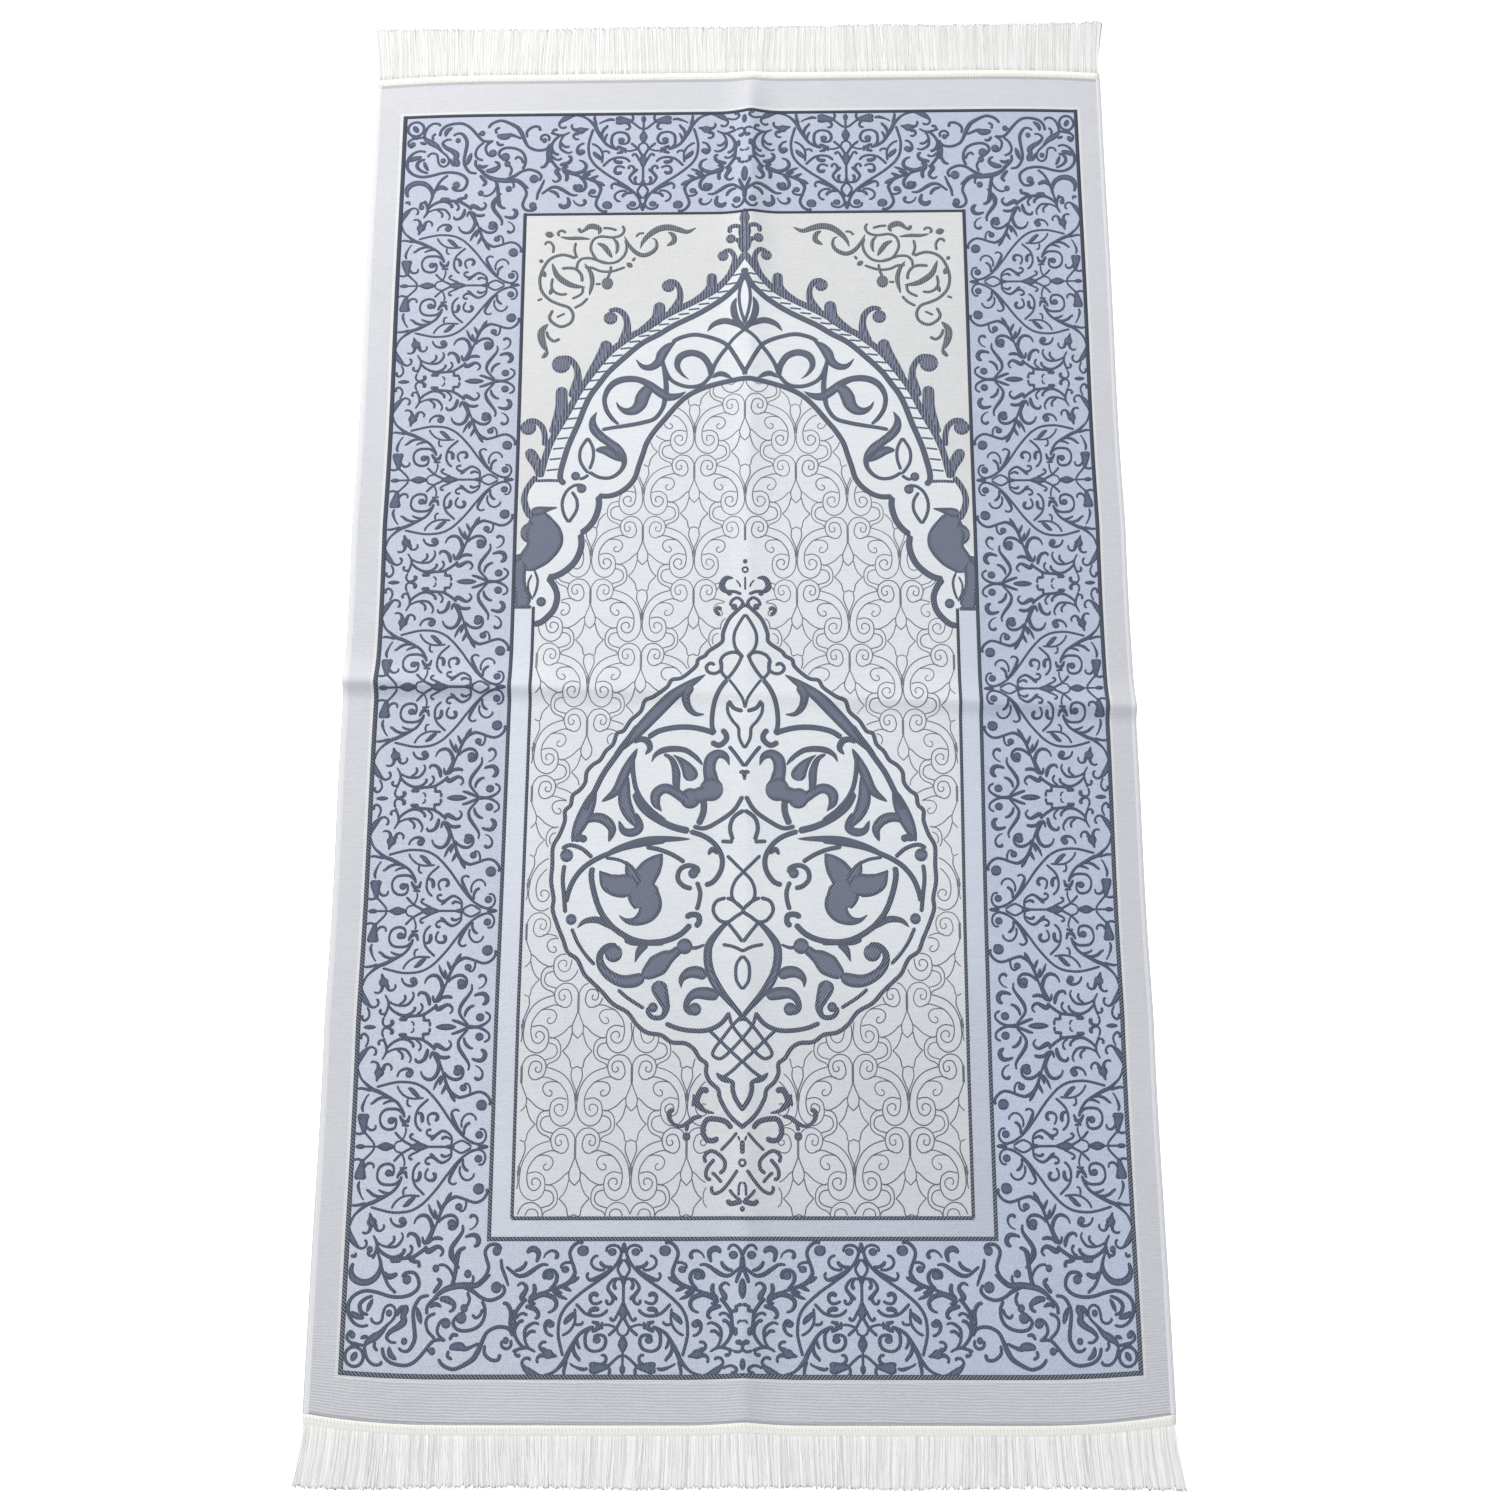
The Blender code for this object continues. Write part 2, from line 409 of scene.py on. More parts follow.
@dataclass
class ScrollBorder:
    """The figured border: heart-shaped units and joints, mirrored in turn round all four sides.

    A half unit is drawn with p from the outer line towards the inner line and q along the border,
    with the middle of a heart at axis_at and the middle of the next joint a pitch further.
    """

    outer: Point = (308.5, 545.0)
    inner: Point = (199.0, 443.5)
    side_pitch: float = 93.4
    end_pitch: float = 92.8
    axis_at: float = 2.8
    side_reach: float = 447.0

    @property
    def depth(self) -> float:
        """Distance between the border's two lines at the sides."""
        return self.outer[0] - self.inner[0]

    def heart(self) -> list[Stroke]:
        """The pointed heart outline, the stem that crosses its foot and the leaves on both."""
        return [
            stem((32, 98), (60, 105), (76, 106), (92, 104), (104, 99), (116, 90), (134, 70), (150, 48),
                (166, 28), (184, 14), (208, 6), wide=4.5),
            limb((2, 128, 4), (5, 118, 4), (11, 108, 4), (26, 95, 7), (38, 90, 7), (62, 77, 5), (72, 67, 5),
                (79, 54, 4)), limb((3, 95, 4), (10, 96, 5), (26, 92, 5)),
            limb((22, 88, 3), (17, 81, 3), (12, 67, 6), (14, 58, 3)),
            limb((24, 71, 4), (29, 74, 5), (35, 79, 6), (44, 82, 5), (54, 81, 4)),
            limb((43, 71, 3), (50, 75, 5), (60, 77, 5), (70, 72, 4)),
            limb((166, 60, 4), (160, 63, 4), (154, 60, 4), (154, 53, 6), (163, 35, 6), (172, 24, 5)),
            stem((192, 45), (191, 51), (185, 56), (178, 56), (172, 51), (169, 43), (170, 34)),
            limb((184, 43, 4), (178, 40, 6), (174, 33, 5), (174, 23, 4)),
            stem((179, 18), (186, 12), (198, 10), (206, 14), (209, 23), (205, 32), (197, 33)),
            ball((198, 24), 6.5),
        ]

    def heart_axis(self) -> list[Stroke]:
        """The heart's middle: spindles, buds, crossed stems, lozenges and the palmette beside them."""
        return [
            stem((5, 6), (66, 6), wide=3), stem((110, 6), (160, 6), wide=3.5),
            leaf((4, 6), (20, 6), wide=7.5), limb((38, 6, 3), (51, 6, 16), (67, 6, 3)),
            stem((64, 7), (69, 13), (77, 16), (82, 29), (81, 37), wide=3.5),
            stem((64, 29), (77, 16), (93, 7), wide=4.5),
            limb((89, 6, 4), (98, 6, 12), (105, 6, 15), (119, 6, 3)),
            limb((106, 11, 4), (90, 19, 4), (90, 24, 4), (95, 25, 6)), leaf((144, 6), (160, 6), wide=7),
            stem((155, 6), (161, 11), (170, 15), (178, 12), (187, 6)),
            leaf((196, 6), (214, 6), wide=7),
            limb((154, 6, 4), (155, 16, 4), (152, 24, 4), (140, 30, 5), (127, 22, 6), (120, 22, 5),
                (115, 26, 4), (116, 31, 4), (123, 32, 6)), stem((120, 16), (125, 18), (130, 23), wide=4.5),
            limb((138, 16, 5), (142, 20, 6), (148, 20, 4), (154, 16, 3)),
            limb((17, 24, 5), (14, 50, 19), (14, 57, 18)), ball((10, 52), 5), ball((19, 52), 5),
            limb((20, 39, 4), (23, 33, 5), (29, 31, 5), (34, 34, 4), (34, 40, 4)),
            limb((16, 27, 4), (9, 25, 5), (2, 27, 4)), stem((17, 28), (31, 13), (34, 6)),
        ]

    def heart_filling(self) -> list[Stroke]:
        """What fills the heart beside its middle: big spiral, blob leaf, brackets, leaf and curls."""
        return [
            limb((58, 46, 6), (64, 49, 5), (66, 41, 4), (63, 34, 5), (54, 32, 5), (45, 36, 5), (41, 44, 4),
                (41, 54, 4), (47, 62, 5), (57, 64, 5), (68, 63, 5), (76, 57, 5), (79, 50, 5)),
            ball((58, 46), 6), limb((71, 55, 4), (74, 48, 5), (79, 43, 9), (81, 41, 13)),
            limb((87, 55, 4), (85, 48, 5), (82, 42, 10)), limb((87, 37, 2), (81, 39, 7), (74, 38, 2)),
            stem((65, 101), (68, 94), (74, 87), (82, 82), (92, 80), (109, 81)),
            stem((83, 81), (82, 74), (84, 69), (89, 68)),
            limb((82, 97, 3), (88, 94, 8), (94, 88, 9), (102, 81, 4)),
            stem((116, 80), (103, 68), (98, 60), (96, 50), (97, 41), (101, 34), (107, 29), wide=4.5),
            limb((98, 57, 4), (104, 57, 6), (107, 50, 8), (106, 42, 5)),
            limb((120, 38, 4), (116, 45, 4), (116, 53, 4), (122, 57, 5), (129, 56, 6), (131, 49, 7),
                (126, 45, 5)),
        ]

    def shoulder(self) -> list[Stroke]:
        """Between the heart and the inner line: the long scroll to the joint with its leaves and balls."""
        return [
            limb((212, 69, 6), (214, 75, 5), (210, 83, 5), (202, 89, 5), (192, 90, 5), (171, 83, 5),
                (161, 83, 6), (147, 94, 7), (136, 123, 4), (123, 154, 6)), ball((200, 70), 9),
            stem((208, 66), (202, 63), (195, 65)), ball((170, 97), 6),
            stem((181, 87), (181, 96), (177, 103), (170, 103)), leaf((147, 96), (158, 74)),
            leaf((139, 120), (135, 111), (132, 100), wide=6.5),
            leaf((134, 117), (127, 104), (122, 92), wide=5.5),
            leaf((143, 105), (140, 96), (135, 86), wide=6), ball((160, 122), 7),
            limb((138, 122, 4), (143, 116, 5), (151, 111, 6), (160, 110, 6), (167, 114, 5), (169, 122, 5),
                (166, 129, 4), (159, 131, 4), (154, 127, 4)),
            limb((101, 124, 3), (104, 116, 4), (110, 111, 6), (118, 110, 6), (125, 115, 7), (129, 124, 7),
                (130, 134, 8), (121, 153, 8)), limb((115, 141, 3), (117, 149, 6), (122, 154, 7)),
            limb((125, 152, 5), (130, 146, 6), (139, 144, 7), (148, 146, 5)),
            limb((121, 158, 6), (125, 164, 9), (139, 157, 6), (146, 160, 5), (148, 166, 4), (143, 172, 3)),
            limb((111, 159, 4), (110, 151, 8), (107, 143, 7), (101, 138, 6), (94, 138, 5), (92, 144, 4)),
            limb((32, 106, 3), (34, 114, 7), (36, 121, 15), (38, 128, 10)), ball((36, 121), 8),
            limb((21, 136, 4), (27, 138, 4), (33, 134, 5), (35, 124, 8)),
            limb((54, 123, 4), (55, 129, 4), (50, 134, 4), (44, 132, 5), (41, 123, 9)),
            limb((64, 113, 4), (67, 121, 4), (74, 126, 5), (83, 126, 6), (88, 121, 6), (84, 115, 5)),
            ball((83, 118), 6),
            limb((2, 122, 4), (2, 132, 4), (6, 145, 10), (11, 153, 10), (17, 159, 5), (23, 161, 4),
                (29, 157, 4), (29, 150, 5), (25, 148, 4)),
            limb((175, 190, 4), (161, 173, 5), (160, 163, 6), (164, 154, 7), (177, 135, 5), (177, 123, 3)),
            limb((168, 177, 3), (170, 168, 6), (176, 161, 6), (184, 158, 4)),
            limb((181, 143, 4), (189, 140, 6), (198, 140, 8), (203, 147, 9), (201, 154, 8), (195, 157, 4)),
            limb((187, 132, 2), (195, 128, 3), (200, 120, 4), (198, 112, 5), (191, 110, 6), (188, 115, 6)),
        ]

    def joint(self) -> list[Stroke]:
        """Half the middle of a joint: its flower, lozenge, bars and the tops of its curls."""
        return [
            leaf((122, 192), (156, 192), wide=10),
            limb((200, 168, 4), (208, 173, 4), (208, 181, 4), (200, 188, 5), (188, 192, 5), (173, 192, 8)),
            ball((193, 177), 7), limb((147, 181, 4), (157, 184, 6), (176, 192, 5)),
            leaf((8, 192), (28, 192), wide=7),
            limb((40, 176, 4), (38, 185, 4), (42, 191, 4), (50, 190, 5), (54, 185, 8), (50, 181, 6)),
            stem((63, 180), (78, 180), wide=7), stem((82, 183), (87, 186), (87, 192), wide=3.5),
            stem((113, 192), (113, 183), wide=5), stem((100, 181), (114, 182), wide=5.5),
            limb((8, 174, 7), (4, 177, 5), (10, 182, 5), (16, 176, 4), (16, 168, 4), (12, 160, 3)),
        ]

    def arches(self) -> list[Stroke]:
        """Beside a joint's middle: the upright stem with double arches and brackets."""
        return [
            limb((39, 140, 3), (46, 156, 5), (40, 177, 4)),
            limb((35, 163, 6), (33, 168, 5), (37, 172, 4), (43, 169, 3)),
            limb((45, 157, 4), (52, 165, 5), (61, 171, 5), (70, 174, 6), (79, 172, 5), (87, 166, 5),
                (88, 159, 6)),
            limb((45, 151, 4), (54, 156, 4), (64, 158, 5), (75, 157, 5), (82, 150, 5), (85, 142, 4),
                (82, 135, 3)), limb((62, 156, 3), (69, 152, 5), (72, 146, 5), (70, 140, 4)),
            stem((72, 177), (82, 175), (93, 174), (103, 172), (119, 161), (123, 155), wide=5.5),
            limb((91, 172, 4), (98, 167, 4), (100, 160, 4), (96, 154, 5)),
            stem((103, 181), (103, 172), wide=5),
        ]

    def corner(self) -> list[Stroke]:
        """The scrolls of one corner: a run from the corner's small ring to the two first hearts.

        Here p and q are measured from the border's outer corner, p across and q along.
        """
        return [
            ring((19.2, 25.2), (13.8, 14.6), wide=4.5), leaf((15, 18), (23, 33), wide=9),
            stem((11, 38), (20, 43), (33, 42), (35, 34), (40, 22), (49, 15), (59, 16), (61, 22), wide=4.5),
            stem((26, 44), (13, 46), (7, 53), (11, 62), (17, 61), wide=4.5), ball((15, 57), 5),
            limb((33, 41, 4), (39, 49, 9), (49, 56, 12), (57, 62, 8), (67, 74, 4), (75, 82, 4), (79, 91, 4),
                (77, 100, 4), (70, 104, 4), (63, 100, 4), (60, 91, 4), (58, 80, 4), (51, 76, 4),
                (44, 79, 4), (42, 85, 4)), ball((69, 92), 5), leaf((27, 52), (32, 55), (39, 57), wide=6),
            stem((55, 35), (49, 41), (50, 50), wide=4.5),
            limb((83, 49, 4), (74, 49, 4), (67, 56, 5), (73, 65, 7), (84, 72, 9), (92, 80, 11), (91, 89, 8),
                (94, 98, 11), (92, 105, 6)), ball((94, 51), 5),
            limb((81, 87, 3), (85, 97, 7), (92, 103, 7)),
            stem((61, 42), (64, 29), (73, 20), (88, 16), (103, 17), (117, 27), (136, 50), (147, 54),
                (158, 53), wide=5), leaf((71, 43), (74, 31), (84, 23)),
            limb((85, 42, 4), (91, 37, 4), (100, 37, 5), (107, 46, 6), (110, 59, 6), (106, 91, 5),
                (109, 105, 5), (117, 116, 5), (130, 119, 4)), leaf((111, 102), (119, 76)),
            ball((137, 37), 5.5), stem((129, 41), (133, 35), wide=3.5),
            limb((147, 27, 4), (152, 19, 5), (162, 13, 5), (175, 12, 5), (198, 24, 7), (207, 36, 8),
                (213, 50, 6), (220, 64, 5), (231, 71, 5), (242, 73, 5), (254, 70, 5), (261, 59, 4)),
            stem((163, 39), (161, 30), (169, 25), wide=4.5),
            limb((163, 41, 5), (171, 44, 12), (181, 44, 13), (190, 41, 6), (209, 49, 4)),
            limb((163, 53, 4), (168, 61, 6), (177, 60, 4)),
            stem((155, 53), (146, 61), (144, 70), (149, 81), (159, 85), wide=4.5), ball((157, 78), 7.5),
            stem((141, 55), (130, 66), (126, 79), (130, 88), (141, 93), wide=4.5),
            stem((127, 90), (127, 101), (134, 111), (145, 117), wide=5),
            leaf((131, 100), (139, 106), (150, 102), wide=6.5),
            limb((160, 95, 4), (167, 98, 5), (168, 106, 7), (157, 113, 11), (145, 114, 6)),
            stem((175, 90), (168, 80), (172, 71), (183, 67), (198, 69), (210, 76), (216, 88), (216, 101),
                (211, 112), wide=5), ball((180, 86), 8.5),
            stem((197, 92), (202, 86), (209, 90), (213, 100), wide=4.5), ball((184, 100), 6),
            stem((188, 102), (192, 113), (188, 125), wide=4.5),
            limb((135, 113, 4), (145, 122, 6), (154, 128, 8), (166, 132, 9), (183, 134, 9), (201, 134, 8),
                (213, 141, 6), (224, 151, 3)),
            limb((181, 132, 5), (197, 125, 6), (210, 116, 5), (224, 112, 5), (239, 117, 5), (246, 126, 5),
                (242, 136, 4)), ball((233, 131), 8.5),
            limb((135, 122, 5), (143, 132, 7), (146, 139, 6), (140, 145, 4)),
            limb((164, 132, 6), (168, 150, 6), (172, 179, 6), (178, 190, 4)),
            stem((168, 140), (161, 156), (151, 164), (141, 164)), ball((138, 159), 5.5),
            limb((170, 170, 4), (163, 179, 6), (162, 190, 5)),
            stem((193, 134), (197, 143), (195, 150)), ball((188, 151), 6),
            stem((202, 135), (215, 147), (220, 161), (216, 174), (214, 185), (221, 194), (234, 194),
                (239, 186), wide=5), ball((232, 185), 7),
            limb((11, 166, 4), (8, 154, 7), (12, 143, 10), (23, 137, 10), (37, 138, 9), (48, 147, 8),
                (53, 160, 6), (51, 172, 4), (46, 185, 4)),
            stem((79, 121), (67, 132), (59, 147), (54, 161), wide=4.5),
            limb((57, 153, 4), (67, 146, 9), (80, 151, 5)),
            limb((39, 73, 4), (26, 71, 4), (14, 78, 5), (7, 92, 6), (8, 107, 5), (17, 118, 5), (32, 124, 5),
                (50, 122, 5), (68, 117, 5), (85, 116, 5), (101, 120, 5), (112, 130, 5), (112, 142, 5),
                (105, 152, 5), (92, 152, 5), (86, 145, 4)), ball((94, 142), 7),
            limb((9, 91, 6), (20, 86, 10), (32, 83, 4)),
            limb((38, 88, 4), (27, 92, 6), (24, 103, 6), (32, 112, 5), (44, 117, 4)),
            leaf((35, 92), (39, 103), (44, 113), wide=6.5), stem((66, 171), (85, 172), wide=9),
            stem((95, 173), (104, 169), (111, 168), (112, 159), wide=5.5),
            limb((218, 47, 4), (218, 34, 5), (228, 25, 5), (239, 25, 5), (242, 34, 6)),
            stem((258, 55), (258, 45), (251, 41), (244, 45), (244, 54), wide=4.5), ball((250, 53), 5),
            limb((261, 60, 4), (256, 77, 5), (257, 94, 6), (251, 106, 6), (243, 108, 4)),
            limb((252, 132, 3), (247, 146, 5), (241, 160, 5), (239, 174, 4)),
            limb((6, 177, 6), (13, 175, 4), (14, 182, 3)), ball((35, 186), 5),
        ]

    def strokes(self) -> list[Stroke]:
        """All strokes of the border: ten half units up each side, four along each end, four corners.

        The halves next to a corner leave out the joint's middle, where the corner's scrolls take over.
        """
        parts = [*self.heart(), *self.heart_axis(), *self.heart_filling(), *self.shoulder(), *self.arches()]
        cut = [part.moved((0, -self.axis_at)) for part in parts]
        whole = cut + [part.moved((0, -self.axis_at)) for part in self.joint()]
        # Sides: p runs from the outer line inwards, q along v. Hearts at v = 0, 186.8 and 373.6.
        side: list[Stroke] = []
        for heart in range(3):
            signs = (1.0, -1.0) if heart else (1.0,)
            for way in (1.0, -1.0):
                half = cut if heart == 2 and way > 0 else whole
                for sign in signs:
                    matrix = np.array([[1.0, 0.0], [0.0, sign * way]])
                    place = (-self.outer[0], sign * 2 * heart * self.side_pitch)
                    side += [stroke.placed(matrix, place) for stroke in half]
        # Ends: p runs from the outer line inwards along v, q across. Hearts at u = -92.8 and 92.8.
        end: list[Stroke] = []
        shallow = (self.outer[1] - self.inner[1]) / self.depth
        for way, half in ((1.0, whole), (-1.0, cut)):
            matrix = np.array([[0.0, way], [-shallow, 0.0]])
            end += [stroke.placed(matrix, (-self.end_pitch, self.outer[1])) for stroke in half]
        corner = [stroke.placed(FLIP_V, (-self.outer[0], self.outer[1])) for stroke in self.corner()]
        far = mirrored(end + corner)
        return mirrored(side) + far + [stroke.placed(FLIP_V) for stroke in far]

    def pieces(self) -> tuple[list[Stroke], list[Stroke], list[Stroke]]:
        """The strokes of the left side, of the right side, and of both ends with their corners."""
        left: list[Stroke] = []
        right: list[Stroke] = []
        ends: list[Stroke] = []
        for stroke in self.strokes():
            u, v = stroke.line[:, 0].mean(), stroke.line[:, 1].mean()
            if abs(u) <= self.inner[0] or abs(v) >= self.side_reach:
                ends.append(stroke)
            elif u < 0:
                left.append(stroke)
            else:
                right.append(stroke)
        return left, right, ends


# -------- The arch with its crest, its piers and the scrolls above it


@dataclass
class ArchFrame:
    """The pointed arch: a crested outer band, a laddered band, inner scrolls and stepped piers."""

    band: tuple[Point, ...] = (
        (0, 804), (-8, 790), (-21, 772), (-35, 753), (-53, 735), (-75, 721), (-101, 707), (-130, 692),
        (-153, 678), (-175, 661), (-198, 649), (-218, 634), (-235, 620), (-253, 600), (-270, 576),
        (-284, 556), (-298, 531), (-310, 505), (-322, 482), (-335, 457), (-345, 432), (-352, 405),
        (-358, 377),
    )
    line: tuple[Point, ...] = (
        (4, 774), (-11, 744), (-24, 730), (-38, 718), (-61, 702), (-84, 688), (-107, 676), (-130, 664),
        (-153, 649), (-175, 637), (-193, 624), (-210, 608), (-227, 592), (-244, 574), (-258, 554),
        (-273, 532), (-283, 509), (-293, 480), (-303, 455), (-311, 433), (-317, 411), (-322, 389),
        (-322, 374), (-314, 364),
    )
    opening: tuple[tuple[Point, ...], ...] = (
        ((6, 562), (-18, 560), (-47, 554), (-75, 545), (-101, 531), (-121, 512), (-142, 486), (-158, 466),
         (-172, 443), (-179, 421), (-186, 399), (-192, 378), (-204, 361), (-222, 348), (-239, 343),
         (-256, 344)),
        ((-256, 344), (-254, 331), (-256, 316), (-262, 299), (-272, 285), (-285, 274)),
        ((-285, 274), (-283, 255), (-287, 237), (-296, 220), (-312, 205), (-327, 197), (-340, 195)),
        ((-340, 195), (-330, 182), (-323, 164), (-325, 145), (-333, 130), (-349, 115), (-363, 111)),
    )
    pier_edge: tuple[Point, ...] = (
        (-373, 364), (-378, 344), (-374, 320), (-366, 304), (-378, 284), (-380, 254), (-397, 238),
    )
    rungs: int = 26
    rung_half: float = 10.8
    side: float = 181.5

    @property
    def opening_points(self) -> list[Point]:
        """The points of all lobes of the opening's edge."""
        return [point for lobe in self.opening for point in lobe]

    @property
    def band_top(self) -> float:
        """Highest v of the crest band, in millimetres."""
        return self.band[0][1] * THREAD

    @property
    def opening_top(self) -> float:
        """Highest v of the opening, in millimetres."""
        return self.opening[0][0][1] * THREAD

    def outlines(self) -> list[Stroke]:
        """The three dark bands of the left half: crest band, lower line and the opening's edge."""
        lobes = [stem(*lobe, wide=wide) for lobe, wide in zip(self.opening, (8.6, 10.4, 10.4, 10))]
        return [stem(*self.line, wide=9.6), *lobes]

    def ladder(self) -> list[Stroke]:
        """Short rungs across the light band, level at the foot and sloping towards the point."""
        upper = spline(self.band, 1.0)
        lower = spline(self.line[:-2], 1.0)
        lean = np.array([1.0, 0.12]) * self.rung_half
        made = []
        for share in np.linspace(0.055, 0.985, self.rungs):
            above, below = (edge[int(share * (len(edge) - 1))] for edge in (upper, lower))
            middle = above * 0.47 + below * 0.53
            made.append(stem(middle - lean, middle + lean, wide=3))
        return made

    def crest(self) -> list[Stroke]:
        """Clubs on bent stalks and round-topped leaves that flow into the crest band."""
        return [
            limb((-40, 810, 6), (-27, 811, 9), (-19, 800, 9), (-19, 786, 10), (-24, 770, 12),
                (-32, 756, 8)), ball((-39, 801), 10),
            limb((-60, 768, 17), (-59, 752, 19), (-61, 738, 19), (-74, 725, 14), (-94, 713, 7)),
            limb((-140, 754, 6), (-125, 750, 10), (-117, 736, 10), (-116, 720, 12), (-122, 704, 16),
                (-136, 690, 10)), ball((-137, 743), 12),
            limb((-153, 712, 19), (-153, 696, 22), (-156, 681, 22), (-170, 668, 16), (-190, 655, 8)),
            limb((-244, 696, 6), (-228, 697, 10), (-215, 687, 11), (-210, 670, 12), (-212, 650, 17),
                (-222, 632, 12)), ball((-240, 681), 12.5),
            limb((-247, 638, 19), (-248, 622, 22), (-255, 605, 22), (-267, 586, 16), (-282, 564, 8)),
            limb((-328, 606, 6), (-312, 603, 10), (-300, 588, 11), (-296, 570, 13), (-299, 550, 18),
                (-308, 528, 12)), ball((-326, 592), 17),
            limb((-324, 549, 20), (-324, 530, 21), (-324, 508, 22), (-331, 486, 17), (-341, 460, 9)),
            limb((-386, 484, 6), (-370, 484, 9), (-357, 473, 10), (-352, 457, 10), (-351, 436, 10)),
            ball((-381, 471), 14), limb((-380, 431, 14), (-373, 417, 22), (-363, 399, 18), (-358, 378, 12)),
            limb((-364, 380, 10), (-373, 368, 10), (-381, 353, 10), (-384, 336, 11), (-379, 317, 12),
                (-370, 302, 12)), stem((-366, 371), (-341, 372), (-318, 371), wide=5),
        ]

    def finial(self) -> list[Stroke]:
        """The leaf group on the arch's point."""
        return [
            limb((1, 892, 2), (1, 883, 12), (1, 872, 18), (1, 861, 10), (1, 840, 11), (1, 804, 10)),
            leaf((-9, 837), (-7, 821), (-3, 804), wide=10),
            stem((-26, 845), (-27, 855), (-18, 859), (-7, 855), (-3, 845), wide=8), ball((-25, 834), 9),
            leaf((-21, 833), (-11, 829), (-6, 818), wide=9), leaf((-10, 853), (-3, 827)),
        ]

    def pier(self) -> list[Stroke]:
        """The palmette at the arch's foot and the stub below it."""
        return [
            limb((-372, 313, 14), (-358, 315, 18), (-342, 319, 9), (-326, 322, 2)),
            limb((-362, 314, 26), (-357, 300, 40), (-351, 280, 60), (-347, 262, 66), (-355, 242, 54),
                (-370, 226, 44), (-384, 210, 30)), ball((-369, 275), 20),
            limb((-399, 232, 8), (-389, 229, 17), (-375, 229, 22), (-362, 232, 16)),
            limb((-387, 226, 26), (-389, 202, 23), (-388, 180, 23), (-383, 160, 27), (-380, 141, 34)),
            limb((-363, 208, 3), (-357, 190, 4), (-359, 172, 4), (-364, 158, 3)), ball((-350, 151), 8.5),
            stem((-398, 142), (-366, 142), wide=6),
            stem((-367, 200), (-373, 184), (-371, 168), (-364, 154), wide=3),
        ]

    def scrolls(self) -> list[Stroke]:
        """Scrolls, almonds and petals in the white band between the arch and its opening."""
        return [
            stem((1, 761), (-7, 741), (-10, 718), (-7, 693), (1, 665), wide=5),
            leaf((-15, 718), (-20, 701), (-16, 679), (-3, 659), wide=12),
            leaf((-67, 654), (-55, 668), (-35, 674), (-15, 666), (-3, 656), wide=11),
            leaf((-12, 675), (-5, 661), (1, 653), wide=10),
            stem((1, 656), (-18, 641), (-30, 626), wide=5.5),
            stem((-130, 634), (-113, 643), (-90, 648), (-67, 644), (-47, 637), (-30, 626), (-18, 607),
                (-7, 587), (3, 568), wide=7),
            stem((-30, 625), (-43, 608), (-54, 589), (-60, 569), wide=6.5),
            limb((-99, 562, 1), (-112, 573, 6), (-120, 589, 10), (-114, 606, 13), (-95, 613, 12),
                (-75, 606, 12), (-63, 588, 11), (-60, 570, 9)),
            stem((-59, 571), (-75, 553), (-95, 548), (-115, 552), (-132, 563), (-142, 583), (-147, 600),
                wide=6.5), leaf((-59, 565), (-43, 573), (-23, 564), wide=9),
            limb((-146, 597, 6), (-142, 572, 7), (-139, 549, 9), (-141, 528, 9), (-145, 508, 7),
                (-159, 488, 7), (-182, 480, 7), (-207, 475, 7), (-232, 471, 6), (-252, 467, 6)),
            limb((-123, 634, 2), (-136, 625, 14), (-147, 611, 19), (-153, 596, 16), (-166, 586, 13),
                (-181, 587, 9), (-194, 601, 1)),
            limb((-104, 539, 1), (-118, 531, 10), (-135, 529, 15), (-151, 538, 16), (-168, 552, 13),
                (-189, 562, 11), (-212, 563, 12), (-231, 556, 12), (-243, 542, 10), (-248, 524, 8),
                (-244, 504, 8), (-233, 487, 7), (-222, 477, 5)),
            limb((-160, 547, 12), (-173, 541, 22), (-181, 528, 25), (-185, 515, 23), (-195, 504, 18),
                (-210, 502, 12), (-222, 510, 6), (-227, 520, 1)),
            limb((-261, 501, 1), (-268, 486, 11), (-266, 470, 16), (-255, 456, 16), (-240, 444, 15),
                (-224, 431, 17), (-214, 417, 13), (-212, 401, 8), (-221, 386, 7), (-236, 377, 6),
                (-255, 378, 6), (-273, 388, 6)), leaf((-263, 429), (-242, 427), (-215, 408), wide=17),
            stem((-276, 452), (-288, 431), (-289, 411), (-282, 396), (-273, 385), wide=5),
            stem((-276, 452), (-267, 433), (-266, 413), (-272, 392), wide=5), ball((-296, 380), 8),
            stem((-290, 374), (-281, 377), (-273, 383), wide=5), ball((-285, 357), 8.5),
            stem((-283, 364), (-299, 362), (-312, 350), (-318, 331), (-315, 311), (-306, 294), wide=5),
            stem((-302, 352), (-293, 336), (-293, 317), (-306, 294), wide=5),
        ]

    def crested(self) -> list[Stroke]:
        """The crest with its band and the point's leaves, both halves."""
        band = stem(*self.band, wide=11.6)
        return mirrored([*self.crest(), band, *self.ladder(), *self.finial()])

    def scrolled(self) -> list[Stroke]:
        """The lines and scrolls of the white band and the palmettes at its feet, both halves."""
        return mirrored([*self.outlines(), *self.scrolls(), *self.pier()])

    def half_width(self, v: np.ndarray) -> np.ndarray:
        """Half the opening's width at places along v: 0 above its top, and the straight sides below."""
        return half_width_of(self.opening_points, v, self.side, 0)


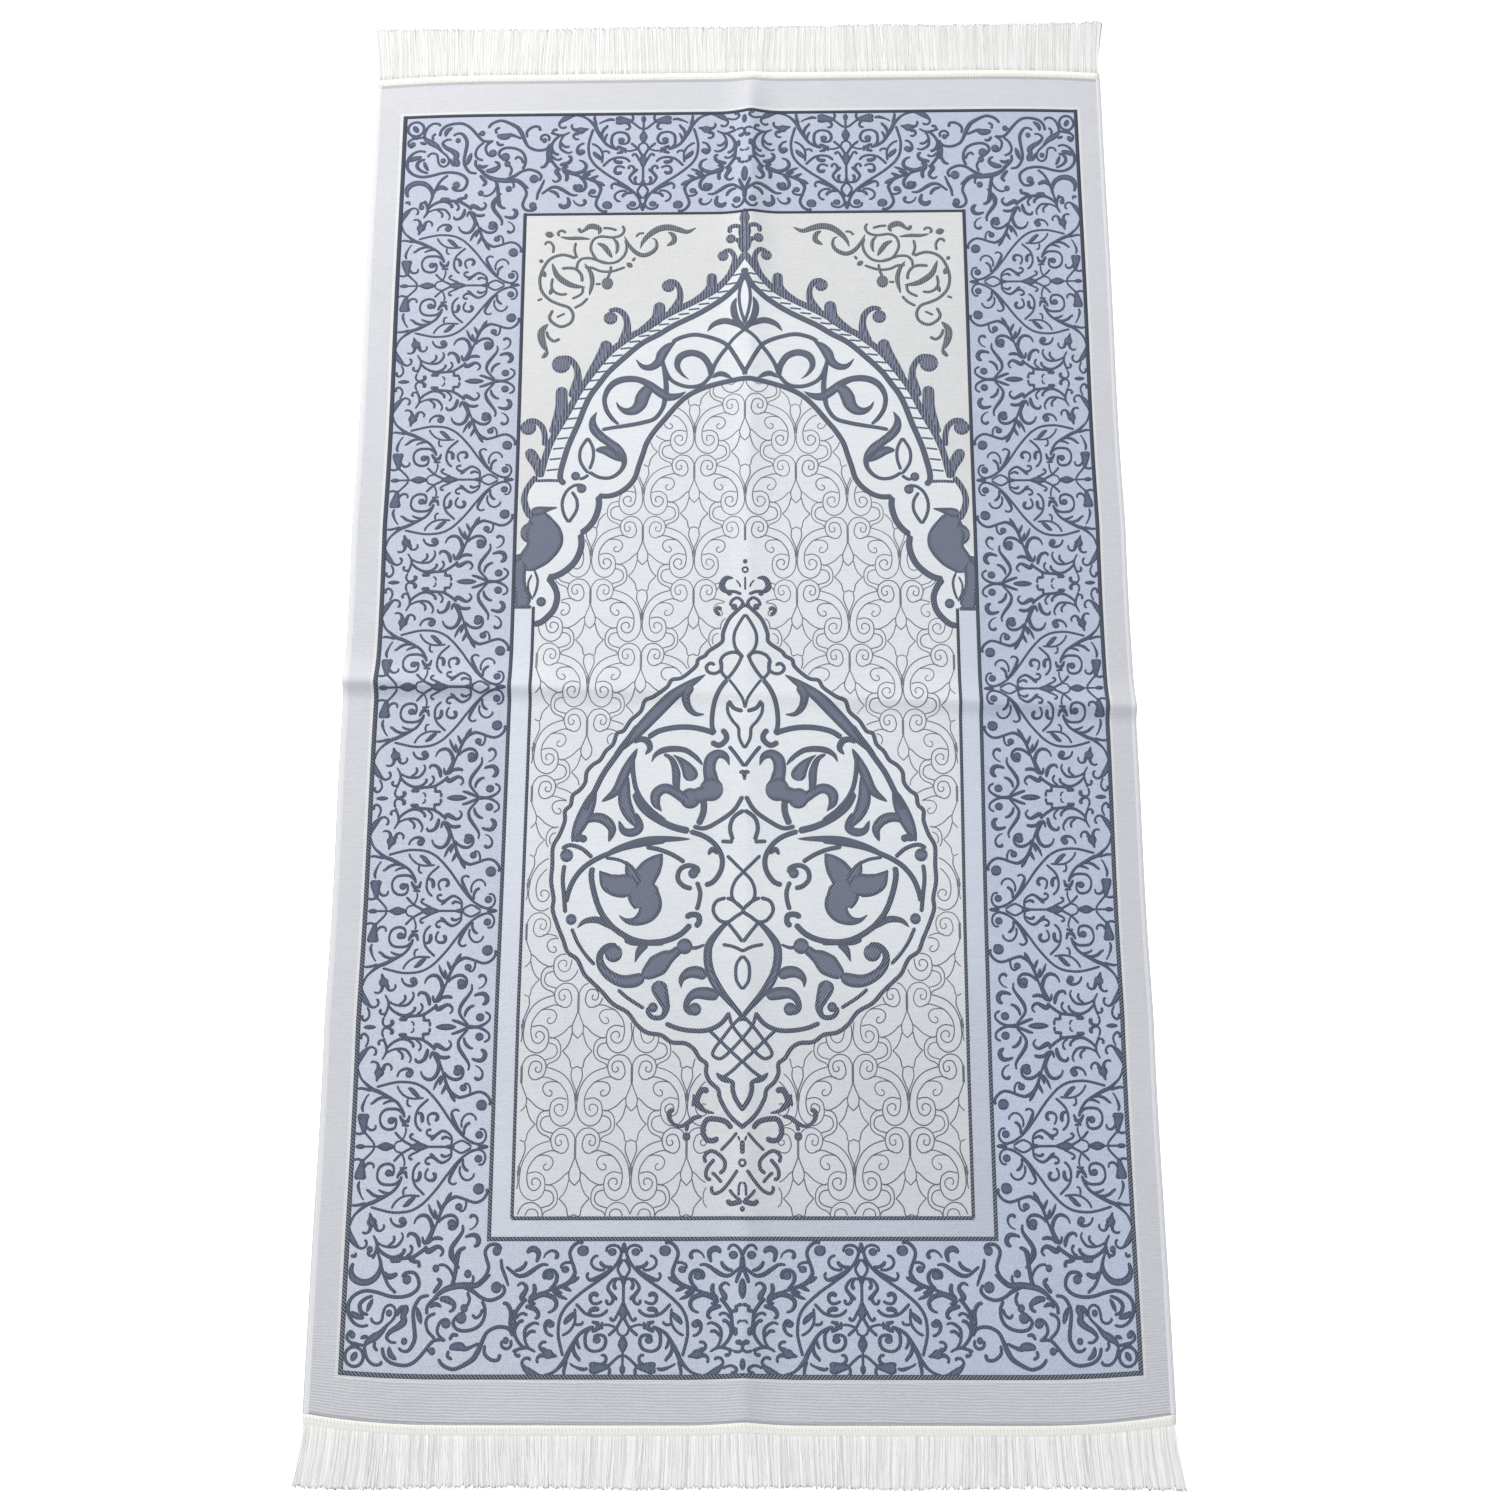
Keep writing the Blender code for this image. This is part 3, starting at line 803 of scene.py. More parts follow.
@dataclass
class CornerScrolls:
    """The fine arabesque in the two upper corners of the cream ground."""

    def strokes(self) -> list[Stroke]:
        """The left arabesque and its mirror image."""
        return mirrored([
            stem((-361, 825), (-358, 831), (-351, 831), (-345, 822), (-346, 809), wide=3.5),
            leaf((-361, 849), (-345, 844), wide=9),
            stem((-323, 849), (-329, 854), (-335, 853), (-338, 848), (-334, 843), wide=3.5),
            leaf((-334, 842), (-318, 839), (-298, 839), (-278, 837), wide=5),
            stem((-305, 831), (-307, 815), (-302, 799), wide=3.5),
            stem((-301, 860), (-297, 852), (-288, 856), wide=4.5),
            leaf((-293, 852), (-281, 862), (-269, 861), (-262, 855), (-265, 846)),
            stem((-257, 859), (-244, 858), (-231, 854), wide=3.5),
            stem((-222, 864), (-218, 855), (-223, 845), (-238, 840), (-260, 842), (-273, 836), (-278, 821),
                (-274, 807), (-264, 794), (-247, 789), (-230, 792), (-217, 805), (-213, 821), (-216, 835),
                wide=3.5), leaf((-267, 829), (-255, 823), (-246, 811), (-239, 799), wide=7),
            leaf((-239, 839), (-231, 829), (-230, 816), (-233, 806), wide=5),
            leaf((-218, 843), (-210, 826), (-198, 811), (-183, 804), (-167, 810), (-159, 821), (-161, 834),
                (-169, 838), wide=6),
            leaf((-189, 817), (-183, 832), (-172, 845), (-156, 856), (-138, 859), (-121, 855), (-104, 850),
                (-87, 858), wide=9), leaf((-139, 850), (-129, 843), (-128, 831), (-141, 822), wide=7),
            stem((-197, 840), (-191, 847), (-181, 848), wide=3),
            stem((-304, 799), (-327, 806), (-349, 799), (-362, 781), (-368, 758), (-364, 735), (-350, 718),
                (-333, 709), (-315, 702), (-307, 688), (-311, 673), (-327, 665), (-342, 672), (-349, 683),
                (-343, 698), wide=4), leaf((-289, 789), (-278, 772), (-274, 752), (-279, 725), wide=6),
            stem((-281, 721), (-292, 709), (-306, 701), wide=3.5),
            stem((-290, 743), (-293, 729), (-310, 719), wide=3.5),
            leaf((-347, 790), (-337, 765), (-319, 750), (-304, 744), (-286, 742)),
            stem((-330, 779), (-315, 780), (-303, 777), (-294, 766), (-292, 752)),
            stem((-345, 761), (-347, 744), (-341, 733), (-330, 728), (-318, 729), wide=3.5),
            leaf((-345, 742), (-350, 727), wide=5.5), leaf((-370, 797), (-363, 791), wide=5.5),
            leaf((-365, 776), (-358, 762), wide=7),
            stem((-302, 778), (-301, 789), (-293, 798), (-278, 799), (-266, 795), (-247, 789), wide=3.5),
            stem((-289, 781), (-275, 780), (-258, 773), (-238, 773), (-215, 781), wide=3.5),
            stem((-241, 784), (-242, 772), (-247, 759), wide=3.5), ball((-247, 749), 10.5),
            stem((-258, 748), (-269, 748), wide=3), leaf((-213, 789), (-202, 781), wide=7),
            leaf((-203, 792), (-197, 800), wide=4), stem((-372, 716), (-362, 720), wide=3),
            stem((-337, 683), (-321, 691), wide=3),
            leaf((-351, 671), (-363, 654), (-359, 631), (-350, 616), wide=10),
            leaf((-351, 620), (-354, 611), (-361, 604), wide=6),
            stem((-354, 657), (-350, 645), (-340, 637), (-329, 642)),
        ])


# -------- The medallion, its finial and pendant


@dataclass
class Medallion:
    """The lobed medallion of white ground: outline, inner scrolls, knot, finial and pendant."""

    outline_points: tuple[Point, ...] = (
        (0, 149), (-24, 126), (-32, 113), (-38, 96), (-40, 81), (-62, 65), (-68, 57), (-80, 50), (-84, 38),
        (-107, 18), (-124, 14), (-132, 1), (-154, -15), (-169, -22), (-176, -40), (-192, -55), (-204, -73),
        (-215, -78), (-221, -96), (-233, -108), (-242, -123), (-255, -132), (-264, -144), (-266, -161),
        (-275, -174), (-286, -183), (-289, -199), (-298, -209), (-298, -226), (-306, -249), (-316, -269),
        (-316, -299), (-317, -326), (-312, -354), (-313, -372), (-304, -398), (-294, -421), (-286, -441),
        (-270, -453), (-258, -476), (-245, -489), (-228, -505), (-210, -524), (-186, -538), (-170, -558),
        (-153, -570), (-131, -574), (-114, -585), (-92, -587), (-78, -596), (-69, -610), (-58, -619),
        (-58, -633), (-52, -647), (-39, -659), (-36, -672), (-27, -690), (-16, -704), (-1, -716),
    )

    top: float = 75.0
    bottom: float = -358.0

    def outline(self) -> list[Stroke]:
        """The stepped outline of the left half; its tip runs past the middle to join the other's."""
        return [stem(*self.outline_points, (4, -719), wide=6.4)]

    def filling(self) -> list[Stroke]:
        """Leaves, scrolls, palmettes and the knot of the left half."""
        return [
            stem((0, 130), (-12, 111), (-19, 93), (-17, 72), (-3, 53), wide=5),
            stem((-51, 40), (-59, 44), (-66, 37), (-62, 28), (-50, 26), (-40, 34), (-42, 48), (-34, 59),
                (-18, 63), (-7, 55), (-16, 35), (-30, 16), wide=5.5),
            stem((-40, 48), (-40, 29), (-30, 16), wide=5.5),
            stem((-30, 16), (-42, -1), (-51, -22), (-55, -45), (-55, -66), (-50, -79), wide=7.5),
            stem((-28, 16), (-15, -1), (-4, -19), (0, -35), wide=4.5),
            stem((-28, -21), (-19, -34), (-3, -40), wide=6.5),
            stem((-29, -23), (-29, -40), (-21, -56), (-11, -68), (-9, -86), (0, -104), wide=5),
            leaf((-221, -117), (-183, -78), (-153, -45), (-125, -17), (-100, 2), (-67, 24), wide=22),
            limb((-68, -45, 2), (-84, -44, 8), (-96, -32, 12), (-100, -13, 15), (-91, 5, 18)),
            stem((-163, -85), (-145, -74), (-120, -68), (-94, -67), (-70, -71), (-49, -78), wide=9),
            stem((-57, -92), (-43, -98), (-31, -88), (-33, -77), (-40, -71), wide=9),
            leaf((-186, -95), (-175, -88), (-164, -91), (-159, -103), (-167, -114), wide=11),
            limb((-156, -127, 1), (-150, -115, 7), (-138, -107, 10), (-120, -104, 10), (-101, -106, 9),
                (-87, -114, 8), (-77, -123, 7), (-70, -132, 2)),
            limb((-136, -113, 4), (-125, -119, 8), (-118, -130, 11), (-114, -146, 14), (-114, -160, 13),
                (-112, -176, 9)),
            limb((-120, -114, 1), (-108, -123, 10), (-98, -134, 19), (-91, -146, 26), (-88, -159, 27)),
            limb((-94, -192, 18), (-122, -174, 16), (-136, -172, 17), (-147, -181, 18), (-147, -196, 15),
                (-137, -210, 1)), limb((-88, -184, 28), (-72, -182, 27), (-56, -177, 30)),
            limb((-54, -172, 30), (-56, -154, 24), (-59, -138, 21), (-56, -122, 21), (-45, -113, 16),
                (-32, -117, 12), (-25, -133, 1)), ball((-55, -173), 20), ball((-90, -188), 17.5),
            stem((-67, -192), (-68, -212), (-76, -233), wide=10.5),
            stem((-180, -64), (-214, -114), (-235, -145), (-251, -178), (-265, -209), wide=9),
            leaf((-248, -171), (-261, -206), (-273, -233), (-285, -261), wide=24),
            stem((-283, -256), (-271, -254), (-260, -258), wide=12),
            leaf((-275, -230), (-249, -220), (-230, -225), (-219, -240), (-224, -261), wide=17),
            leaf((-180, -103), (-198, -140), (-214, -175), (-238, -194), wide=17),
            stem((-188, -113), (-186, -147), (-178, -178), (-158, -205), (-130, -227), wide=7.5),
            leaf((-196, -147), (-200, -185), (-192, -212), (-172, -240), wide=22),
            leaf((-208, -225), (-200, -242), (-185, -245), (-173, -236), (-179, -212), wide=14),
            stem((-130, -259), (-164, -264), (-199, -271), (-226, -281), (-247, -291), (-264, -303),
                (-278, -320), (-287, -340), (-292, -361), wide=8),
            stem((-229, -287), (-205, -291), (-182, -303), wide=5),
            limb((-238, -308, 1), (-232, -316, 16), (-222, -327, 32), (-208, -333, 37), (-190, -334, 40),
                (-176, -342, 40)), limb((-194, -292, 1), (-189, -304, 16), (-176, -334, 28)),
            limb((-134, -280, 1), (-141, -289, 20), (-151, -302, 36), (-161, -316, 40), (-168, -330, 44),
                (-164, -348, 54), (-155, -366, 44), (-160, -381, 30), (-176, -391, 15), (-192, -390, 8),
                (-204, -381, 1)), ball((-293, -283), 11),
            stem((-302, -272), (-288, -266), (-268, -272), (-250, -287), wide=6.5),
            stem((-296, -298), (-298, -322), (-295, -350), (-292, -378), wide=6.5), ball((-282, -388), 9),
            leaf((-272, -402), (-259, -391), (-239, -389), (-221, -397), (-197, -411), wide=11),
            stem((-128, -426), (-155, -426), (-180, -421), (-204, -408), (-222, -392), (-236, -371),
                (-246, -343), (-251, -317), (-249, -302), wide=9),
            stem((-281, -402), (-270, -426), (-256, -446), (-241, -462), wide=5.5),
            ball((-211, -443), 14.5),
            limb((-206, -429, 6), (-222, -432, 9), (-233, -446, 11), (-230, -464, 14), (-216, -479, 17),
                (-196, -488, 20), (-176, -487, 22), (-160, -480, 16)),
            stem((-203, -501), (-186, -515), (-159, -532), wide=5.5),
            stem((-183, -178), (-172, -201), (-150, -220), (-120, -235), (-90, -243), wide=11),
            stem((-90, -243), (-65, -252), (-47, -266), (-36, -286), (-37, -307), (-49, -326), (-64, -333),
                wide=8), stem((-85, -235), (-65, -238), (-41, -226), (-17, -208), (-2, -184), wide=7),
            leaf((-223, -275), (-192, -265), (-162, -258), (-132, -256), (-88, -256), wide=11),
            stem((-162, -269), (-138, -274), (-116, -283), (-97, -295), wide=7),
            stem((-84, -338), (-98, -334), (-108, -322), (-105, -307), (-92, -300), (-77, -304),
                (-75, -314), wide=7.5), ball((-83, -313), 8.5),
            stem((-77, -326), (-71, -344), (-73, -362), (-77, -374), wide=7),
            stem((-94, -387), (-87, -381), (-74, -382), (-72, -393), (-79, -401), wide=9),
            stem((-85, -396), (-103, -413), (-127, -423), (-154, -426), (-179, -426), (-194, -420), wide=9),
            limb((-156, -428, 10), (-168, -438, 13), (-176, -458, 1)),
            limb((-164, -480, 14), (-152, -473, 26), (-138, -462, 37), (-126, -452, 28), (-114, -445, 16),
                (-102, -435, 16)), ball((-95, -432), 13),
            limb((-84, -435, 6), (-74, -434, 5), (-62, -429, 3)),
            limb((-138, -487, 22), (-135, -500, 27), (-128, -518, 19), (-124, -532, 12), (-130, -545, 8),
                (-144, -546, 8), (-153, -538, 7), (-152, -529, 6)), ball((-145, -530), 8),
            stem((-34, -429), (-15, -433), (2, -441), wide=5),
            limb((-26, -393, 7), (-42, -410, 10), (-55, -430, 13), (-57, -452, 14), (-53, -472, 14),
                (-44, -492, 15), (-29, -512, 11), (-11, -532, 8), (6, -552, 7)),
            limb((-100, -499, 1), (-99, -485, 10), (-88, -475, 17), (-73, -474, 20), (-58, -481, 16)),
            limb((-38, -512, 16), (-58, -508, 21), (-76, -508, 17), (-88, -518, 11), (-91, -532, 9),
                (-82, -542, 5)), ball((-77, -533), 10.5),
            stem((-125, -555), (-105, -563), (-81, -567), (-56, -566), (-35, -556), (-20, -538), wide=7),
            stem((-28, -353), (-44, -359), (-49, -374), (-40, -389), (-26, -393), (-12, -384), (0, -374),
                (-15, -359), (-28, -353), wide=5.5), stem((-26, -393), (-12, -410), (0, -426), wide=5.5),
            stem((-28, -283), (-16, -295), (0, -311), (13, -325), (19, -342), (16, -357), (0, -372),
                wide=5), stem((-27, -99), (-14, -115), (0, -135), wide=6),
            limb((-9, -146, 4), (-3, -143, 6), (0, -150, 7), (0, -158, 3)),
            leaf((-59, -283), (-52, -273), (-43, -282)), stem((-38, -260), (-17, -261), wide=6),
            stem((0, -208), (-17, -220), (-23, -238), (-18, -259), wide=6.5),
            stem((0, -447), (-10, -462), (-10, -486), (0, -502), wide=5),
            stem((-34, -508), (-7, -536), (16, -559), (32, -579), (45, -596), (47, -606), (35, -611),
                (19, -599), (0, -579), (-16, -559), (-22, -541), wide=5),
            stem((-56, -564), (-39, -580), (-22, -596), (0, -616), wide=5),
            stem((0, -615), (-16, -630), (-33, -642), wide=5),
            leaf((-42, -633), (-32, -642), (-12, -648), wide=9),
            stem((-15, -646), (-15, -661), (-10, -675), (-2, -687), (4, -691), wide=7),
        ]

    def finial(self) -> list[Stroke]:
        """Spots, stalk and curls above the medallion's point."""
        return [
            ball((0, 224), 4), ring((0, 209), (4.6, 4.6), wide=3), stem((0, 197), (0, 172), wide=3),
            leaf((-20, 194), (-31, 195), (-38, 188), (-39, 176), (-24, 166), wide=10), ball((-37, 175), 5),
            ball((-27, 168), 5), stem((-31, 171), (-18, 170), (-6, 165), wide=5),
            stem((-16, 191), (-10, 184), (-8, 177), wide=2.5),
            stem((-26, 144), (-23, 154), (-14, 159), (-6, 154), (-3, 146), wide=5), ball((-19, 143), 5.5),
            leaf((-8, 144), (0, 148), wide=10),
            stem((-40, 138), (-47, 142), (-50, 136), (-43, 128), wide=6),
        ]

    def pendant(self) -> list[Stroke]:
        """Curls, crossed stalks and a bell below the medallion's tip."""
        return [
            stem((-53, -662), (-64, -660), (-71, -670), (-72, -681), (-62, -691), wide=9),
            limb((-69, -686, 8), (-58, -693, 6), (-44, -696, 2)),
            leaf((-79, -666), (-76, -674), (-80, -686), wide=7), ball((-89, -732), 6.5),
            limb((-64, -701, 4), (-76, -703, 7), (-87, -711, 7), (-98, -716, 5), (-109, -713, 5),
                (-116, -704, 7), (-116, -694, 8), (-108, -690, 5)), limb((-86, -712, 5), (-90, -724, 6)),
            stem((-16, -720), (-27, -709), (-43, -705), (-56, -706), (-62, -717), (-62, -728), (-56, -737),
                (-45, -738), (-38, -733), wide=8), stem((-8, -725), (-20, -739), (-35, -754), wide=4.5),
            stem((0, -737), (0, -759), wide=7), stem((-7, -730), (-4, -739), wide=3),
            ring((0, -772), (5, 5), wide=3.5),
            stem((-7, -782), (-18, -798), (-32, -814), (-44, -819), (-49, -813), (-47, -807), wide=5),
            stem((-58, -773), (-60, -762), (-50, -754), (-38, -759), (-28, -770), (-29, -782), (-37, -789),
                wide=5.5), stem((-44, -766), (-56, -781), (-57, -794), (-49, -799), wide=5.5),
            stem((-49, -786), (-40, -794), (-32, -803), wide=5),
            stem((-6, -823), (-5, -806), (0, -801), wide=3.5),
            stem((-21, -812), (-14, -821), (-2, -830), wide=4.5),
            stem((-25, -828), (-18, -834), (0, -830), wide=7.5), ball((0, -842), 4),
        ]

    def dark(self) -> list[Stroke]:
        """All dark strokes, both halves."""
        return mirrored([*self.outline(), *self.filling(), *self.finial(), *self.pendant()])

    def half_width(self, v: np.ndarray) -> np.ndarray:
        """Half the medallion's width at places along v, and far below 0 above and below it."""
        return half_width_of(self.outline_points, v, -20, -20)


# -------- The scroll lattice of the field


@dataclass
class ScrollLattice:
    """The thin-lined lattice of mirrored scrolls, half dropped from one column to the next.

    One half unit is drawn to the right of its column's middle line, from the height of its upper
    spiral's eye. Columns stand a pitch apart, every second one raised by half a repeat. Each motif
    on the middle line that the lattice leaves free has a half width, a lowest v and a highest v.
    """

    pitch: float = 44.3
    repeat: float = 113.8
    eye_height: float = 53.6
    columns: range = range(-5, 6)
    rows: range = range(-5, 4)
    top: float = 281.0
    bottom: float = -427.0
    side: float = 180.5
    line_width: float = 1.45
    clearance: float = 3.0
    shortest_cut: int = 7
    motifs: tuple[Triple, ...] = ((17, 68, 112), (8, 112, 126), (28, -425, -330))

    def half_unit(self) -> list[Stroke]:
        """Upper spiral with its outer ring, curl, lower spiral, double bracket, drop and pointed leaf."""
        return [self.thin(points) for points in (
            ((48, 65), (37, 62), (26, 57), (16, 49), (9, 39), (4, 27), (2, 15), (1, 1), (4, -12), (12, -22),
             (24, -26), (35, -21), (41, -11), (42, 0), (39, 11), (30, 17), (22, 17), (15, 15)),
            ((62, 48), (51, 50), (38, 46), (28, 41), (20, 32), (15, 23), (13, 11), (14, 1), (17, -7),
             (24, -11), (31, -8), (35, -1), (33, 5), (27, 8), (22, 6), (21, 0), (24, -2)),
            ((28, 41), (35, 43), (46, 42), (52, 38), (54, 31), (50, 23), (43, 20), (39, 23), (40, 28),
             (44, 30)),
            ((0, -47), (4, -38), (11, -31), (22, -29), (30, -32), (37, -39), (39, -49), (36, -60),
             (29, -66), (20, -68), (14, -64), (11, -56), (13, -46), (17, -40), (25, -39), (31, -43),
             (32, -50), (29, -56), (23, -55), (22, -50), (25, -48)),
            ((42, -1), (54, -4), (60, -11), (62, -19), (61, -30), (54, -38), (43, -43), (39, -49)),
            ((41, -10), (50, -12), (55, -17), (56, -26), (50, -33), (37, -37)),
            ((1, -47), (1, -73)),
            ((0, -73), (4, -84), (9, -97), (8, -108), (4, -113), (0, -117)),
            ((9, -96), (15, -100), (23, -108), (33, -114), (43, -117)),
            ((9, -108), (12, -120), (17, -130), (24, -137)),
            ((24, -137), (18, -143), (12, -151), (10, -161), (7, -164), (0, -161)),
            ((8, -165), (9, -177), (5, -189), (0, -201)),
            ((1, -201), (1, -216)),
        )]

    def thin(self, points: Sequence[Point]) -> Stroke:
        """One thin line through points, in threads."""
        line = spline(np.multiply(points, THREAD), 1.4)
        return Stroke(line, np.full(len(line), self.line_width))

    def strokes(self, opening: HalfWidth, medallion: HalfWidth) -> list[Stroke]:
        """The lattice over the field, cut off where the arch, the medallion or a motif begins.

        Args:
            opening: half the opening's width at places along v.
            medallion: half the medallion's width at places along v.

        Returns:
            The strokes that show.
        """
        unit = mirrored(self.half_unit())
        made: list[Stroke] = []
        for column in self.columns:
            drop = self.eye_height + (self.repeat / 2 if column % 2 else 0)
            for row in self.rows:
                place = (column * self.pitch, drop + row * self.repeat)
                for stroke in unit:
                    made += self.cut(stroke.moved(place), opening, medallion)
        return made

    def cut(self, stroke: Stroke, opening: HalfWidth, medallion: HalfWidth) -> list[Stroke]:
        """The runs of a stroke that lie on the field, without the shortest bits where it is cut."""
        u, v = np.abs(stroke.line[:, 0]), stroke.line[:, 1]
        shown = (v < self.top) & (v > self.bottom) & (u < self.side)
        shown &= (u < opening(v) - self.clearance) & (u > medallion(v) + self.clearance)
        for half_width, low, high in self.motifs:
            shown &= ~((u < half_width) & (v > low) & (v < high))
        breaks = np.flatnonzero(np.diff(shown.astype(int))) + 1
        runs = zip(np.split(stroke.line, breaks), np.split(stroke.widths, breaks), np.split(shown, breaks))
        shortest = self.shortest_cut if len(breaks) else 2
        return [Stroke(line, widths) for line, widths, seen in runs if seen[0] and len(line) > shortest]


@dataclass
class GuardLines:
    """The straight twisted-looking lines that frame the border, the guard stripe and the field."""

    outer: Point = (308.5, 545.0)
    inner: Point = (199.0, 443.5)
    guard_side: float = 181.5
    guard_top: float = 71.0
    guard_bottom: float = -428.0

    def straight(self, start: Point, end: Point, wide: float) -> Stroke:
        """A straight line, with places every 2 mm, so that it follows the folds."""
        count = int(math.hypot(end[0] - start[0], end[1] - start[1]) / 2) + 2
        return Stroke(np.linspace(start, end, count), np.full(count, wide))

    def frame(self, half: Point, wide: float) -> list[Stroke]:
        """The four lines of a frame, lapped at the corners by half a width; the far one is finer."""
        u, v, lap, fine = half[0], half[1], wide / 2, wide * 0.83
        return [
            self.straight((-u, -v - lap), (-u, v + fine / 2), wide),
            self.straight((u, v + fine / 2), (u, -v - lap), wide),
            self.straight((u - lap, -v), (-u + lap, -v), wide),
            self.straight((-u + lap, v), (u - lap, v), fine),
        ]

    def strokes(self) -> list[Stroke]:
        """Both frames and the guard stripe's inner line."""
        side, top, bottom = self.guard_side, self.guard_top, self.guard_bottom
        guard = [
            self.straight((-side, bottom), (-side, top), 2.6),
            self.straight((side, top), (side, bottom), 2.6),
            self.straight((side, bottom), (-side, bottom), 2.8),
        ]
        return self.frame(self.outer, 3.6) + self.frame(self.inner, 3.1) + guard


# -------- Meshes


def mesh_piece(name: str, vertices: np.ndarray, faces: np.ndarray, pattern: np.ndarray | None = None,
               edge: np.ndarray | None = None, soft: bool = True) -> bpy.types.Object:
    """Put worked-out vertices and faces into a new object at the origin.

    Args:
        name: the piece's name.
        vertices: x, y, z rows in metres.
        faces: rows of vertex numbers, all with the same number of corners.
        pattern: u and v of each vertex in metres, kept as the UV map "pattern".
        edge: distance of each vertex to its stroke's edge in millimetres, kept as "edge".
        soft: whether its faces are shaded smoothly.

    Returns:
        The new object.
    """
    corners = np.asarray(faces, dtype=np.int32)
    mesh = bpy.data.meshes.new(name)
    mesh.vertices.add(len(vertices))
    mesh.vertices.foreach_set("co", np.asarray(vertices, dtype=np.float32).ravel())
    mesh.loops.add(corners.size)
    mesh.loops.foreach_set("vertex_index", corners.ravel())
    mesh.polygons.add(len(corners))
    mesh.polygons.foreach_set("loop_start", np.arange(0, corners.size, corners.shape[1], dtype=np.int32))
    mesh.polygons.foreach_set("use_smooth", np.full(len(corners), soft))
    mesh.update(calc_edges=True)
    if pattern is not None:
        layer = mesh.uv_layers.new(name="pattern")
        layer.data.foreach_set("uv", np.asarray(pattern, dtype=np.float32)[corners.ravel()].ravel())
    if edge is not None:
        kept = mesh.attributes.new("edge", "FLOAT", "POINT")
        kept.data.foreach_set("value", np.asarray(edge, dtype=np.float32))
    mesh.validate()
    piece = bpy.data.objects.new(name, mesh)
    bpy.context.scene.collection.objects.link(piece)
    return piece


def grid_faces(rows: int, columns: int, closed: bool = False) -> np.ndarray:
    """Four-cornered faces of a grid of vertices that is stored row by row.

    Args:
        rows: number of rows.
        columns: number of vertices in a row.
        closed: whether each row runs back to its first vertex.

    Returns:
        Vertex numbers, four to a face, anticlockwise where columns run right and rows run up.
    """
    row = np.arange(rows - 1)[:, None] * columns
    column = np.arange(columns if closed else columns - 1)[None, :]
    a, b = row + column, row + (column + 1) % columns
    return rows_of(a, b, b + columns, a + columns)


def capped_faces(rows: int) -> np.ndarray:
    """Faces of a row of loops of eight vertices, with three faces over each end."""
    caps = np.array([(0, 1, 2, 7), (7, 2, 3, 6), (6, 3, 4, 5)])
    return np.vstack([grid_faces(rows, 8, closed=True), caps[:, ::-1], (rows - 1) * 8 + caps])


def repeated(faces: np.ndarray, count: int, size: int) -> np.ndarray:
    """The same faces again for each of a count of pieces, which have size vertices each."""
    return (faces + np.arange(count)[:, None, None] * size).reshape(-1, faces.shape[1])


@dataclass(frozen=True)
class Relief:
    """How woven figures stand over the ground, in millimetres.

    A stroke's edges sink into the cloth, and its shoulders stand a little lower than its top. A
    stroke narrower than fine is a plain ridge; a wide one has more places across.
    """

    top: float = 0.15
    sink: float = 0.08
    shoulder: float = 0.35
    shoulder_share: float = 0.85
    least_inner: float = 0.3
    spread: float = 0.08
    fine: float = 1.5
    spacing: float = 5.0

    def profile(self, wide: float) -> tuple[np.ndarray, np.ndarray]:
        """Places across a stroke from -1 to 1 and their heights: sunk edges, raised middle.

        Args:
            wide: the stroke's greatest width.

        Returns:
            The places and the heights in millimetres.
        """
        if wide < self.fine:
            return np.array([-1.0, 0.0, 1.0]), np.array([-self.sink, self.top, -self.sink])
        inner = max(self.least_inner, 1 - 2 * self.shoulder / wide)
        spans = 2 * max(1, int(math.ceil(wide / self.spacing)))
        places = np.concatenate([[-1.0], np.linspace(-inner, inner, spans + 1), [1.0]])
        heights = np.full(len(places), self.top)
        heights[[0, -1]] = -self.sink
        heights[[1, -2]] = self.top * self.shoulder_share
        return places, heights

    def step(self, number: int) -> float:
        """How much higher a stroke stands than the lowest, spread evenly by the golden share."""
        return self.spread * ((number * 0.618034) % 1.0)


def woven_figure(name: str, strokes: Sequence[Stroke], lie: ClothLie, relief: Relief) -> bpy.types.Object:
    """Strokes as one low relief on the cloth.

    At each place of a stroke the profile is laid square to the line: the line's place plus the
    normal times half the width times the place across. Each stroke is a few hundredths of a
    millimetre higher or lower than the others, so that crossings stay clean.

    Args:
        name: the piece's name.
        strokes: what to draw.
        lie: how the cloth lies.
        relief: the figure's heights.

    Returns:
        The piece, with its pattern UV map and its edge distances.
    """
    flat, above, edges, faces = [], [], [], []
    first = 0
    for number, stroke in enumerate(strokes):
        slope = np.gradient(stroke.line, axis=0)
        slope /= np.maximum(np.hypot(slope[:, 0], slope[:, 1]), 1e-9)[:, None]
        normal = np.stack([-slope[:, 1], slope[:, 0]], axis=-1)
        places, heights = relief.profile(stroke.wide)
        half = stroke.widths[:, None] / 2
        spots = stroke.line[:, None, :] + normal[:, None, :] * (half * -places[None, :])[..., None]
        slim = np.clip(stroke.widths / max(stroke.wide, 1e-6), 0.25, 1)[:, None]
        flat.append(spots.reshape(-1, 2))
        above.append(np.where(heights > 0, heights * slim + relief.step(number), heights).ravel())
        edges.append((half * (1 - np.abs(places))[None, :]).ravel())
        faces.append(grid_faces(len(stroke.line), len(places)) + first)
        first += len(stroke.line) * len(places)
    pattern = np.concatenate(flat)
    vertices = lie.surface(pattern[:, 0], pattern[:, 1], np.concatenate(above))
    return mesh_piece(name, vertices, np.concatenate(faces), pattern * MM, np.concatenate(edges))


